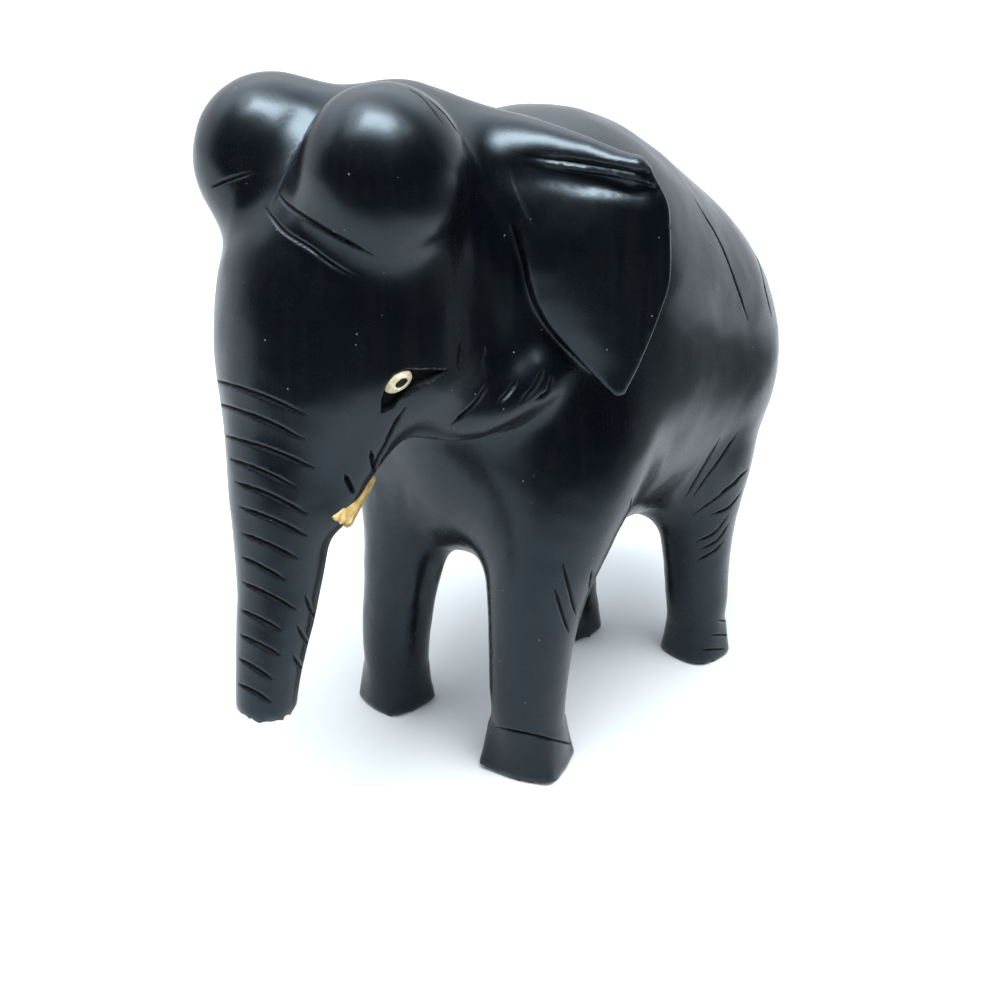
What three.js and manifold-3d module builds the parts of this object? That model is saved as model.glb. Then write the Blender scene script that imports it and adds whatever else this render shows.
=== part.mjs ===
// Ebony elephant carving: a standing elephant cut from one block of ebony, with bone eyes let into
// its face and the broken stubs of two bone tusks beside its trunk.
// Millimetres, +Z up. The elephant faces -Y, and its own left side is +X.
import * as THREE from "three";
import { mergeVertices } from "three/addons/utils/BufferGeometryUtils.js";
import Module from "manifold-3d";

// Sizes are in millimetres, from the floor and from a line midway between the front and hind feet.
// A form has a centre, its half sizes and its tilt in degrees, front end up. Under is its half height
// below the centre where that is its own.
const BARREL = { centre: [0, 3.5, 72.5], half: [26.4, 35.5, 37], tilt: 0 };
const RUMP = { centre: [0, 31.8, 62], half: [26.8, 23.6, 29.4], tilt: 0 };
const SHOULDERS = { centre: [0, -8, 77], half: [22.5, 22.5, 32], tilt: 0 };
const CHEST = { centre: [0, -20, 60], half: [15.5, 12, 22], tilt: 0 };
const SKULL = { centre: [0, -49.5, 84], half: [18, 18.2, 30], under: 15, tilt: 0 };
const CROWN = { centre: [0, -39, 102.2], half: [14.3, 16.5, 19.4], tilt: 0 };
const DOME = { centre: [11.4, -53, 110.6], half: [11.3, 12.6, 12.5], tilt: 0 };
const FACE = { centre: [0, -57.5, 88], half: [13.8, 12, 20], tilt: 0 };
const CHEEK = { centre: [10, -45.5, 82.5], half: [8, 13, 9], tilt: 14 };
const JAW = { centre: [0, -41.5, 76.5], half: [12.5, 10.5, 7], tilt: 22 };

// A limb is a run of stations, each its place and its radius.
const NECK = [[0, -8, 87.5, 21], [0, -26, 92.5, 19.5], [0, -44, 95, 17.5]];
const TRUNK = [
  [0, -57, 92, 12],
  [0, -61.5, 78, 11],
  [0, -65.5, 64, 8.4],
  [0, -68, 48, 6.5],
  [0, -70.5, 38, 5.5],
  [0, -73, 24, 4.6],
];
const LIP = [[9, -54, 78, 4.2], [8, -57.2, 70, 3.4], [6, -61, 62, 2.8]];
const JAWLINE = [
  [12, -48, 79.5, 3.8],
  [14, -42, 74.2, 5],
  [16.5, -35.5, 74.2, 5],
  [19.5, -29.5, 76.5, 4.4],
];
const FRONT_LEFT_LEG = [
  [15, -16, 60, 15],
  [16.5, -23.5, 37, 9.4],
  [17, -26.6, 13, 6.7],
  [16.8, -25.5, 2, 6.2],
];
const FRONT_RIGHT_LEG = [
  [-13, -18, 60, 14],
  [-14.5, -24, 37, 8.6],
  [-16.8, -26, 13, 6.5],
  [-17.4, -25.6, 2, 6],
];
const HIND_LEFT_LEG = [
  [16.5, 27, 44, 10.5],
  [17.6, 27.4, 30, 7.8],
  [18, 28.6, 13, 6.4],
  [18.2, 29.2, 2, 5.8],
];
const HIND_RIGHT_LEG = [
  [-14, 25.5, 45, 11],
  [-12, 22.5, 30, 7.6],
  [-9.2, 20, 13, 6.1],
  [-8.4, 19.6, 2, 5.8],
];
const TAIL = [[0, 44, 91, 3.8], [0, 55.5, 78, 3], [0, 57, 62, 2.3], [0, 54, 47, 2.8], [0, 50, 38, 1.8]];

// A foot is a block that narrows upwards: the middle of its sole, its half sizes there, its height, its
// turn in degrees and how far its edges are rounded.
const FRONT_LEFT_FOOT = { middle: [16, -25.6], half: [7.7, 6.4], high: 10, turn: 16, round: 1.6 };
const FRONT_RIGHT_FOOT = { middle: [-17.6, -25.6], half: [6.2, 5.8], high: 9, turn: -8, round: 1.8 };
const HIND_LEFT_FOOT = { middle: [18.2, 29.2], half: [6.2, 5.8], high: 9, turn: -8, round: 3 };
const HIND_RIGHT_FOOT = { middle: [-8.4, 19.4], half: [6.2, 5.8], high: 9, turn: -4, round: 3 };
const FOOT_TAPER = 0.26;
const FOOT_FILLET = 2.5;

// Fillets where the forms run into each other.
const TORSO_FILLET = 22;
const NECK_FILLET = 10;
const HEAD_FILLET = 6;
const DOME_FILLET = 8;
const BROW_FILLET = 6;
const LEG_FILLET = 6.5;

// An ear hangs from a ridge that runs from the nape to its top rear corner. It is a gently bulging sheet
// between its front edge on the neck and its free rear edge, top to tip.
const EAR_RIDGE = [[3, -28.6, 108.2, 7.3], [18, -24, 110, 5.2], [31, -20.5, 109.2, 2.4]];
const EAR_RIDGE_FILLET = 8;
const EAR_FRONT = [
  [13, -28.6, 109.6],
  [17, -31.2, 104.8],
  [19.6, -32.4, 98],
  [20.2, -31.2, 91.4],
  [21.6, -29, 86],
  [25.4, -25.2, 79.8],
  [31, -23, 74.5],
];
const EAR_REAR = [
  [32.5, -18.5, 109.5],
  [35, -17, 104.5],
  [35.8, -16.8, 98.5],
  [36, -17, 92.5],
  [35, -18.7, 86],
  [33.6, -20.6, 80],
  [32, -22, 75],
];
const EAR_FLARE_DEG = 46;
const EAR_HALF_THICK = 1.5;
const EAR_BULGE = 1.2;
const EAR_ROLL = 1.7;
const EAR_ROLL_SHARE = 0.16;
const EAR_ROOT_DEPTH = 8;
const EAR_ROWS = 15;
const EAR_COLUMNS = 7;

// The eyes are bone ovals set in the cheeks, their front ends lower.
const EYE_Y = -56.8;
const EYE_Z = 82.7;
const EYE_HALF = [2.3, 1.35, 1.1];
const EYE_TILT_DEG = 28;
const EYE_PROUD = 0.5;
const EYE_SIDES = 14;
const EYE_RINGS = 8;

// Each tusk is lost but for a stub that stands out under the lip, broken off at a slant.
const STUB_ROOT = [7.9, -55.3, 65.2];
const STUB_END = [8.6, -62.9, 59.9];
const STUB_RADII = [1.7, 2.2];
const STUB_BREAK_DEG = 15;
const STUB_SIDES = 20;

// The tail is a plain rod carved against the rump.
const TAIL_SIDES = 10;
const TAIL_RINGS = 16;
const TAIL_END_ROUND = 1.6;

// The trunk is broken off a little out of level.
const TRUNK_END_Z = 28.4;
const TRUNK_BREAK_DEG = 8;

const INLAY_GAP = 0.3;
const WASTE = 24;
const MIDDLE_Y = -8.55;

const EBONY = { color: 0x17181b, roughness: 0.4, metalness: 0 };
const EYE_BONE = { color: 0xe2d7b4, roughness: 0.45, metalness: 0 };
const TUSK_BONE = { color: 0xb08a48, roughness: 0.6, metalness: 0 };

// How finely the skin is drawn, and how each of its points is brought onto the forms.
const GRID_CELL = 3.95;
const GRID_LOW = [-46.8, -93.6, -15.6];
const GRID_HIGH = [46.8, 74.1, 136.5];
const LIMB_SAMPLES = 24;
const LIMB_STEPS = 3;
const LEAST_TURN = 0.3;
const PROBE = 0.05;
const PULL_STEPS = 4;
const PULL_SHARE = 0.9;
const LEAST_SLOPE = 0.3;
const MERGE_WITHIN = 1e-4;
const JUST_INSIDE = -0.01;

const wasm = await Module();
wasm.setup();

// Distance fields

function ellipsoid({ centre, half, under = half[2], tilt }) {
  const [cx, cy, cz] = centre;
  const [rx, ry] = half;
  const c = Math.cos(THREE.MathUtils.degToRad(tilt));
  const s = Math.sin(THREE.MathUtils.degToRad(tilt));
  return (x, y, z) => {
    const px = x - cx;
    const dy = y - cy;
    const dz = z - cz;
    const py = c * dy - s * dz;
    const pz = c * dz + s * dy;
    const rz = pz < 0 ? under : half[2];
    const k0 = Math.hypot(px / rx, py / ry, pz / rz);
    const k1 = Math.hypot(px / (rx * rx), py / (ry * ry), pz / (rz * rz));
    return k1 < 1e-9 ? -Math.min(rx, ry, rz) : (k0 * (k0 - 1)) / k1;
  };
}

// How fast the slope of the smooth line through the values changes at each of them, free at both ends or
// running out flat there.
function bendsOf(values, gaps, flatEnds) {
  const last = values.length - 1;
  const rate = gaps.map((gap, i) => (values[i + 1] - values[i]) / gap);
  const rows = values.map((_, i) => {
    const before = gaps[i - 1];
    const after = gaps[i];
    if (i > 0 && i < last) return [before / 6, (before + after) / 3, after / 6, rate[i] - rate[i - 1]];
    if (!flatEnds) return [0, 1, 0, 0];
    return i === 0 ? [0, after / 3, after / 6, rate[0]] : [before / 6, before / 3, 0, -rate[last - 1]];
  });
  for (let i = 1; i <= last; i++) {
    const share = rows[i][0] / rows[i - 1][1];
    rows[i][1] -= share * rows[i - 1][2];
    rows[i][3] -= share * rows[i - 1][3];
  }
  const bends = new Array(last + 2).fill(0);
  for (let i = last; i >= 0; i--) bends[i] = (rows[i][3] - rows[i][2] * bends[i + 1]) / rows[i][1];
  return bends;
}

// A rod of changing radius along a smooth line through its stations.
function limb(stations) {
  const gaps = stations.slice(1).map((to, i) => {
    const from = stations[i];
    return Math.hypot(to[0] - from[0], to[1] - from[1], to[2] - from[2]);
  });
  const knots = [0];
  for (const gap of gaps) knots.push(knots[knots.length - 1] + gap);
  const length = knots[knots.length - 1];
  const columns = [0, 1, 2, 3].map((m) => stations.map((station) => station[m]));
  const bends = columns.map((values, m) => bendsOf(values, gaps, m === 3));
  const spanAt = (t) => {
    let k = 0;
    while (k < gaps.length - 1 && t > knots[k + 1]) k++;
    return k;
  };
  const placeAt = (t, m) => {
    const k = spanAt(t);
    const b = (t - knots[k]) / gaps[k];
    const a = 1 - b;
    const curve = ((a * a * a - a) * bends[m][k] + (b * b * b - b) * bends[m][k + 1]) * gaps[k] * gaps[k];
    return a * columns[m][k] + b * columns[m][k + 1] + curve / 6;
  };
  const rateAt = (t, m) => {
    const k = spanAt(t);
    const b = (t - knots[k]) / gaps[k];
    const a = 1 - b;
    const curve = ((3 * b * b - 1) * bends[m][k + 1] - (3 * a * a - 1) * bends[m][k]) * gaps[k];
    return (columns[m][k + 1] - columns[m][k]) / gaps[k] + curve / 6;
  };
  const bendAt = (t, m) => {
    const k = spanAt(t);
    const b = (t - knots[k]) / gaps[k];
    return (1 - b) * bends[m][k] + b * bends[m][k + 1];
  };
  const beads = [];
  for (let i = 0; i < LIMB_SAMPLES; i++) {
    const t = (i / (LIMB_SAMPLES - 1)) * length;
    beads.push([t, placeAt(t, 0), placeAt(t, 1), placeAt(t, 2)]);
  }
  return (x, y, z) => {
    const point = [x, y, z];
    let best = Infinity;
    let t = 0;
    for (const [along, bx, by, bz] of beads) {
      const d = (x - bx) * (x - bx) + (y - by) * (y - by) + (z - bz) * (z - bz);
      if (d < best) {
        best = d;
        t = along;
      }
    }
    for (let step = 0; step < LIMB_STEPS; step++) {
      let along = 0;
      let speed = 0;
      let turn = 0;
      for (let m = 0; m < 3; m++) {
        const off = placeAt(t, m) - point[m];
        const rate = rateAt(t, m);
        along += off * rate;
        speed += rate * rate;
        turn += off * bendAt(t, m);
      }
      t = Math.min(length, Math.max(0, t - along / Math.max(speed + turn, LEAST_TURN * speed)));
    }
    return Math.hypot(x - placeAt(t, 0), y - placeAt(t, 1), z - placeAt(t, 2)) - placeAt(t, 3);
  };
}

// A block with rounded edges, narrowing upwards, that runs from its height down through the floor.
function block({ middle, half, high, turn, round }) {
  const c = Math.cos(THREE.MathUtils.degToRad(turn));
  const s = Math.sin(THREE.MathUtils.degToRad(turn));
  return (x, y, z) => {
    const dx = x - middle[0];
    const dy = y - middle[1];
    const narrow = 1 - FOOT_TAPER * Math.min(1, Math.max(0, z / high));
    const qx = Math.abs(c * dx + s * dy) - half[0] * narrow + round;
    const qy = Math.abs(c * dy - s * dx) - half[1] * narrow + round;
    const qz = Math.abs(z) - high + round;
    const out = Math.hypot(Math.max(qx, 0), Math.max(qy, 0), Math.max(qz, 0));
    return out + Math.min(Math.max(qx, qy, qz), 0) - round;
  };
}

const mirrored = (form) => (x, y, z) => form(Math.abs(x), y, z);

// Joins forms with a fillet of about the given width.
function blend(width, ...forms) {
  return (x, y, z) => {
    let d = forms[0](x, y, z);
    for (let i = 1; i < forms.length; i++) {
      const e = forms[i](x, y, z);
      const h = Math.max(width - Math.abs(d - e), 0) / width;
      d = Math.min(d, e) - (h * h * width) / 4;
    }
    return d;
  };
}

// The elephant's forms

const torso = blend(TORSO_FILLET, ellipsoid(BARREL), ellipsoid(RUMP), ellipsoid(SHOULDERS));
const trunkline = blend(NECK_FILLET, torso, ellipsoid(CHEST), limb(NECK));
const face = blend(
  HEAD_FILLET,
  ellipsoid(SKULL),
  ellipsoid(FACE),
  mirrored(ellipsoid(CHEEK)),
  limb(TRUNK),
  mirrored(limb(LIP)),
  ellipsoid(JAW),
  mirrored(limb(JAWLINE)),
);
const head = blend(BROW_FILLET, face, blend(DOME_FILLET, ellipsoid(CROWN), mirrored(ellipsoid(DOME))));
const legs = [
  [FRONT_LEFT_LEG, FRONT_LEFT_FOOT],
  [FRONT_RIGHT_LEG, FRONT_RIGHT_FOOT],
  [HIND_LEFT_LEG, HIND_LEFT_FOOT],
  [HIND_RIGHT_LEG, HIND_RIGHT_FOOT],
].map(([stations, foot]) => blend(FOOT_FILLET, limb(stations), block(foot)));
const body = blend(LEG_FILLET, blend(HEAD_FILLET, trunkline, head), ...legs);
const elephant = blend(EAR_RIDGE_FILLET, body, mirrored(limb(EAR_RIDGE)));

// Meshing

function gradient(field, x, y, z) {
  return [
    (field(x + PROBE, y, z) - field(x - PROBE, y, z)) / (2 * PROBE),
    (field(x, y + PROBE, z) - field(x, y - PROBE, z)) / (2 * PROBE),
    (field(x, y, z + PROBE) - field(x, y, z - PROBE)) / (2 * PROBE),
  ];
}

// Fills the outside corner of every cell face whose corners alternate, so that no two sheets of the
// skin share an edge.
function settle(value, [nx, ny, nz]) {
  const at = (i, j, k) => i + nx * (j + ny * k);
  let changed = true;
  while (changed) {
    changed = false;
    for (let k = 0; k < nz - 1; k++)
      for (let j = 0; j < ny - 1; j++)
        for (let i = 0; i < nx - 1; i++)
          for (const [a, b, c, d] of [
            [at(i, j, k), at(i + 1, j, k), at(i + 1, j + 1, k), at(i, j + 1, k)],
            [at(i, j, k), at(i, j + 1, k), at(i, j + 1, k + 1), at(i, j, k + 1)],
            [at(i, j, k), at(i + 1, j, k), at(i + 1, j, k + 1), at(i, j, k + 1)],
          ]) {
            const inside = [a, b, c, d].map((n) => value[n] < 0);
            if (inside[0] !== inside[2] || inside[1] !== inside[3] || inside[0] === inside[1]) continue;
            const [p, q] = inside[0] ? [b, d] : [a, c];
            value[value[p] < value[q] ? p : q] = JUST_INSIDE;
            changed = true;
          }
  }
}

// The closed skin of a field inside a box, by naive surface nets with each vertex drawn onto the field.
function skin(field, low, high, cell) {
  const count = low.map((v, i) => Math.ceil((high[i] - v) / cell) + 1);
  const [nx, ny, nz] = count;
  const at = (i, j, k) => i + nx * (j + ny * k);
  const value = new Float64Array(nx * ny * nz);
  for (let k = 0; k < nz; k++)
    for (let j = 0; j < ny; j++)
      for (let i = 0; i < nx; i++)
        value[at(i, j, k)] = field(low[0] + i * cell, low[1] + j * cell, low[2] + k * cell);
  const corner = [0, 1, 2, 3, 4, 5, 6, 7].map((c) => [c & 1, (c >> 1) & 1, (c >> 2) & 1]);
  settle(value, count);
  const points = [];
  const pointOf = new Map();
  for (let k = 0; k < nz - 1; k++)
    for (let j = 0; j < ny - 1; j++)
      for (let i = 0; i < nx - 1; i++) {
        const v = corner.map(([a, b, c]) => value[at(i + a, j + b, k + c)]);
        const inside = v.filter((d) => d < 0).length;
        if (inside === 0 || inside === 8) continue;
        const sum = [0, 0, 0];
        let crossings = 0;
        for (let a = 0; a < 8; a++)
          for (const bit of [1, 2, 4]) {
            const b = a | bit;
            if (b === a || v[a] < 0 === v[b] < 0) continue;
            const t = v[a] / (v[a] - v[b]);
            for (let m = 0; m < 3; m++) sum[m] += corner[a][m] + t * (corner[b][m] - corner[a][m]);
            crossings++;
          }
        const base = [i, j, k];
        const p = sum.map((s, m) => low[m] + (base[m] + s / crossings) * cell);
        for (let step = 0; step < PULL_STEPS; step++) {
          const d = field(...p);
          const g = gradient(field, ...p);
          const size = g[0] * g[0] + g[1] * g[1] + g[2] * g[2];
          for (let m = 0; m < 3; m++) p[m] -= (PULL_SHARE * d * g[m]) / Math.max(size, LEAST_SLOPE);
        }
        pointOf.set(at(i, j, k), points.length);
        points.push(p);
      }
  const triangles = [];
  const length = (a, b) => Math.hypot(...points[a].map((v, m) => v - points[b][m]));
  const quad = (a, b, c, d) =>
    length(a, c) < length(b, d) ? triangles.push(a, b, c, a, c, d) : triangles.push(a, b, d, b, c, d);
  for (let k = 1; k < nz - 1; k++)
    for (let j = 1; j < ny - 1; j++)
      for (let i = 1; i < nx - 1; i++) {
        const here = value[at(i, j, k)] < 0;
        const near = (a, b, c) => pointOf.get(at(i + a, j + b, k + c));
        const rings = [
          [[1, 0, 0], [near(0, -1, -1), near(0, 0, -1), near(0, 0, 0), near(0, -1, 0)]],
          [[0, 1, 0], [near(-1, 0, -1), near(-1, 0, 0), near(0, 0, 0), near(0, 0, -1)]],
          [[0, 0, 1], [near(-1, -1, 0), near(0, -1, 0), near(0, 0, 0), near(-1, 0, 0)]],
        ];
        for (const [[a, b, c], ring] of rings)
          if (here !== value[at(i + a, j + b, k + c)] < 0) quad(...(here ? ring : ring.reverse()));
      }
  return new THREE.BufferGeometry()
    .setAttribute("position", new THREE.Float32BufferAttribute(points.flat(), 3))
    .setIndex(triangles);
}

function solidOf(geometry) {
  const bare = geometry.clone();
  for (const name of Object.keys(bare.attributes)) if (name !== "position") bare.deleteAttribute(name);
  const merged = mergeVertices(bare, MERGE_WITHIN);
  return new wasm.Manifold(
    new wasm.Mesh({
      numProp: 3,
      vertProperties: merged.attributes.position.array,
      triVerts: new Uint32Array(merged.index.array),
    }),
  );
}

function geometryOf(solid) {
  const mesh = solid.getMesh();
  return new THREE.BufferGeometry()
    .setAttribute("position", new THREE.BufferAttribute(mesh.vertProperties, 3))
    .setIndex(new THREE.BufferAttribute(mesh.triVerts, 1));
}

// Ears

function earSolid(side) {
  const curve = (stations) =>
    new THREE.CatmullRomCurve3(stations.map(([x, y, z]) => new THREE.Vector3(side * x, y, z)));
  const front = curve(EAR_FRONT);
  const rear = curve(EAR_REAR);
  const flare = THREE.MathUtils.degToRad(EAR_FLARE_DEG);
  const outward = new THREE.Vector3(side * Math.cos(flare), -Math.sin(flare), 0);
  const outer = [];
  const inner = [];
  for (let r = 0; r <= EAR_ROWS; r++) {
    const w = r / EAR_ROWS;
    for (let c = 0; c <= EAR_COLUMNS; c++) {
      const u = c / EAR_COLUMNS;
      const middle = front.getPoint(w).lerp(rear.getPoint(w), u);
      const bulge = EAR_BULGE * Math.sin(Math.PI * u) * Math.sin(Math.PI * w);
      const roll = EAR_ROLL * THREE.MathUtils.smoothstep(EAR_ROLL_SHARE - w, 0, EAR_ROLL_SHARE);
      const depth = EAR_HALF_THICK + EAR_ROOT_DEPTH * (1 - u) * (1 - u) * Math.sqrt(1 - w);
      outer.push(middle.clone().addScaledVector(outward, bulge + EAR_HALF_THICK + roll));
      inner.push(middle.clone().addScaledVector(outward, bulge - depth));
    }
  }
  const points = [...outer, ...inner].flatMap((p) => p.toArray());
  const across = EAR_COLUMNS + 1;
  const back = outer.length;
  const triangles = [];
  const quad = (a, b, c, d) => triangles.push(a, b, c, a, c, d);
  for (let r = 0; r < EAR_ROWS; r++)
    for (let c = 0; c < EAR_COLUMNS; c++) {
      const a = r * across + c;
      quad(a, a + across, a + across + 1, a + 1);
      quad(back + a, back + a + 1, back + a + across + 1, back + a + across);
    }
  for (let c = 0; c < EAR_COLUMNS; c++) {
    const foot = EAR_ROWS * across + c;
    quad(c, c + 1, back + c + 1, back + c);
    quad(foot, back + foot, back + foot + 1, foot + 1);
  }
  for (let r = 0; r < EAR_ROWS; r++) {
    const a = r * across;
    const b = a + EAR_COLUMNS;
    quad(a, back + a, back + a + across, a + across);
    quad(b, b + across, back + b + across, back + b);
  }
  if (side < 0) triangles.reverse();
  return solidOf(
    new THREE.BufferGeometry()
      .setAttribute("position", new THREE.Float32BufferAttribute(points, 3))
      .setIndex(triangles),
  );
}

// Tail

// A closed rod along a curve in the plane of symmetry, drawn from a ball whose poles are its two ends.
function tailSolid() {
  const spine = new THREE.CatmullRomCurve3(TAIL.map(([x, y, z]) => new THREE.Vector3(x, y, z)));
  const rod = new THREE.SphereGeometry(1, TAIL_SIDES, TAIL_RINGS);
  const ball = rod.attributes.position;
  const across = new THREE.Vector3(1, 0, 0);
  for (let i = 0; i < ball.count; i++) {
    const t = (1 - ball.getY(i)) / 2;
    const from = Math.min(Math.floor(t * (TAIL.length - 1)), TAIL.length - 2);
    const radius = THREE.MathUtils.lerp(TAIL[from][3], TAIL[from + 1][3], t * (TAIL.length - 1) - from);
    const swell = Math.min(1, TAIL_END_ROUND * Math.hypot(ball.getX(i), ball.getZ(i)));
    const around = Math.atan2(ball.getZ(i), ball.getX(i));
    const away = across.clone().cross(spine.getTangent(t));
    const point = spine.getPoint(t);
    point.addScaledVector(across, Math.cos(around) * radius * swell);
    point.addScaledVector(away, -Math.sin(around) * radius * swell);
    ball.setXYZ(i, ...point.toArray());
  }
  return solidOf(rod);
}

// Eyes and tusk stubs

// The point of the skin straight in from one side, and the outward direction there.
function onSkin(side, y, z) {
  let out = GRID_HIGH[0];
  let inside = 0;
  for (let i = 0; i < 40; i++) {
    const x = (out + inside) / 2;
    if (elephant(side * x, y, z) < 0) inside = x;
    else out = x;
  }
  const point = new THREE.Vector3(side * out, y, z);
  return { point, normal: new THREE.Vector3(...gradient(elephant, ...point.toArray())).normalize() };
}

function eyeGeometry(side, gap) {
  const { point, normal } = onSkin(side, EYE_Y, EYE_Z);
  const level = new THREE.Vector3(0, 0, 1).cross(normal).normalize();
  level.applyAxisAngle(normal, side * THREE.MathUtils.degToRad(EYE_TILT_DEG));
  const up = normal.clone().cross(level);
  const [long, tall, deep] = EYE_HALF.map((half) => half + gap);
  const centre = point.addScaledVector(normal, EYE_PROUD - EYE_HALF[2]);
  return new THREE.SphereGeometry(1, EYE_SIDES, EYE_RINGS)
    .scale(long, tall, deep)
    .applyMatrix4(new THREE.Matrix4().makeBasis(level, up, normal).setPosition(centre));
}

// A tapered stub from root to end, cut by a leaning plane where it broke. With a gap it is its own pocket.
function stubSolid(side, gap) {
  const root = new THREE.Vector3(side * STUB_ROOT[0], STUB_ROOT[1], STUB_ROOT[2]);
  const end = new THREE.Vector3(side * STUB_END[0], STUB_END[1], STUB_END[2]);
  const along = end.clone().sub(root);
  const length = along.length();
  along.normalize();
  const turn = new THREE.Quaternion().setFromUnitVectors(new THREE.Vector3(0, 1, 0), along);
  const place = new THREE.Matrix4().compose(root.clone().lerp(end, 0.5), turn, new THREE.Vector3(1, 1, 1));
  const [thin, thick] = STUB_RADII.map((radius) => radius + gap);
  const rod = new THREE.CylinderGeometry(thick, thin, length + 2 * gap, STUB_SIDES);
  const solid = solidOf(rod.applyMatrix4(place));
  if (gap > 0) return solid;
  const lean = new THREE.Quaternion().setFromAxisAngle(
    new THREE.Vector3(1, 0, 0),
    THREE.MathUtils.degToRad(STUB_BREAK_DEG),
  );
  const waste = new THREE.BoxGeometry(WASTE, WASTE, WASTE).translate(0, WASTE / 2, 0);
  const cut = new THREE.Matrix4().compose(end, turn.clone().multiply(lean), new THREE.Vector3(1, 1, 1));
  return solid.subtract(solidOf(waste.applyMatrix4(cut)));
}

// The carving

const span = GRID_HIGH.map((high, i) => high - GRID_LOW[i]);
const floor = new THREE.BoxGeometry(span[0], span[1], -GRID_LOW[2]);
const underFloor = solidOf(floor.translate(0, MIDDLE_Y, GRID_LOW[2] / 2));
const trunkEnd = TRUNK[TRUNK.length - 1];
const lostTip = new THREE.BoxGeometry(WASTE, WASTE, WASTE).translate(0, 0, -WASTE / 2);
lostTip.rotateY(THREE.MathUtils.degToRad(TRUNK_BREAK_DEG)).translate(trunkEnd[0], trunkEnd[1], TRUNK_END_Z);

const sides = [["left", 1], ["right", -1]];
let carved = solidOf(skin(elephant, GRID_LOW, GRID_HIGH, GRID_CELL));
carved = carved.add(tailSolid()).subtract(underFloor).subtract(solidOf(lostTip));
for (const [, side] of sides) {
  carved = carved.add(earSolid(side));
  carved = carved.subtract(solidOf(eyeGeometry(side, INLAY_GAP)));
  carved = carved.subtract(stubSolid(side, INLAY_GAP));
}

const group = new THREE.Group();
group.name = "ebony_elephant";

function addPiece(name, geometry, look) {
  const mesh = new THREE.Mesh(geometry.translate(0, -MIDDLE_Y, 0), new THREE.MeshStandardMaterial(look));
  mesh.geometry.computeVertexNormals();
  mesh.name = name;
  group.add(mesh);
}

addPiece("elephant", geometryOf(carved), EBONY);
for (const [word, side] of sides) {
  addPiece(`eye_${word}`, geometryOf(solidOf(eyeGeometry(side, 0))), EYE_BONE);
  addPiece(`tusk_stub_${word}`, geometryOf(stubSolid(side, 0)), TUSK_BONE);
}

export default group;
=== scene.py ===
import math
import random

import bmesh
import bpy
import numpy as np
from mathutils import Matrix, Vector, noise
from mathutils.bvhtree import BVHTree
from mathutils.kdtree import KDTree


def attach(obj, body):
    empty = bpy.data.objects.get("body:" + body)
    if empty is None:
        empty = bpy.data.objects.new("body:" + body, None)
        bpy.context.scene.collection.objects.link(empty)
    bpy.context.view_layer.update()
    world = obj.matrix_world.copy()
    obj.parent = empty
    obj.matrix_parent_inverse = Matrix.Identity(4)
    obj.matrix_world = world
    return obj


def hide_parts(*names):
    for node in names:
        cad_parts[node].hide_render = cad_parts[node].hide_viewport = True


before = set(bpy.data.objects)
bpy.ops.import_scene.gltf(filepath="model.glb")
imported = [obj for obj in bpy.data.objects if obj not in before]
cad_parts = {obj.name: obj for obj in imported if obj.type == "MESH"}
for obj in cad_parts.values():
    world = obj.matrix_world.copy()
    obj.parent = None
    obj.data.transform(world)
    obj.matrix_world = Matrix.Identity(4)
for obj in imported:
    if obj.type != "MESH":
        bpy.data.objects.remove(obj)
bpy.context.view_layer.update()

MM = 0.001
TINY = 1e-9

# The photograph's camera, in the carver's frame: millimetres from the floor and from midway between the feet
FEET_LINE = np.array([0.0, -8.55, 0.0])
CAMERA_PLACE = np.array([142.0, -183.5, 143.0])
CAMERA_TURN = 40.0
CAMERA_PITCH = 24.0
CAMERA_REACH = 1300.0
PICTURE = 1000.0
SENSOR = 36.0

# The elephant's forms, as the solid has them: centre, half sizes and tilt
BARREL = ((0, 3.5, 72.5), (26.4, 35.5, 37.0), 0)
RUMP = ((0, 31.8, 62), (26.8, 23.6, 29.4), 0)
SHOULDERS = ((0, -8, 77), (22.5, 22.5, 32), 0)
CHEST = ((0, -20, 60), (15.5, 12, 22), 0)
SKULL = ((0, -49.5, 84), (18, 18.2, 30), 0)
SKULL_UNDER = 15
CROWN = ((0, -39, 102.2), (14.3, 16.5, 19.4), 0)
DOME = ((11.4, -53, 110.6), (11.3, 12.6, 12.5), 0)
FACE = ((0, -57.5, 88), (13.8, 12, 20), 0)
CHEEK = ((10, -45.5, 82.5), (8, 13, 9), 14)
JAW = ((0, -41.5, 76.5), (12.5, 10.5, 7), 22)

# Limbs: stations of place and radius
NECK = ((0, -8, 87.5, 21), (0, -26, 92.5, 19.5), (0, -44, 95, 17.5))
TRUNK = (
    (0, -57, 92, 12),
    (0, -61.5, 78, 11),
    (0, -65.5, 64, 8.4),
    (0, -68, 48, 6.5),
    (0, -70.5, 38, 5.5),
    (0, -73, 24, 4.6),
)
LIP = ((9, -54, 78, 4.2), (8, -57.2, 70, 3.4), (6, -61, 62, 2.8))
JAWLINE = ((12, -48, 79.5, 3.8), (14, -42, 74.2, 5), (16.5, -35.5, 74.2, 5), (19.5, -29.5, 76.5, 4.4))
FRONT_LEFT_LEG = ((15, -16, 60, 15), (16.5, -23.5, 37, 9.4), (17, -26.6, 13, 6.7), (16.8, -25.5, 2, 6.2))
FRONT_RIGHT_LEG = ((-13, -18, 60, 14), (-14.5, -24, 37, 8.6), (-16.8, -26, 13, 6.5), (-17.4, -25.6, 2, 6))
HIND_LEFT_LEG = ((16.5, 27, 44, 10.5), (17.6, 27.4, 30, 7.8), (18, 28.6, 13, 6.4), (18.2, 29.2, 2, 5.8))
HIND_RIGHT_LEG = ((-14, 25.5, 45, 11), (-12, 22.5, 30, 7.6), (-9.2, 20, 13, 6.1), (-8.4, 19.6, 2, 5.8))

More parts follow.
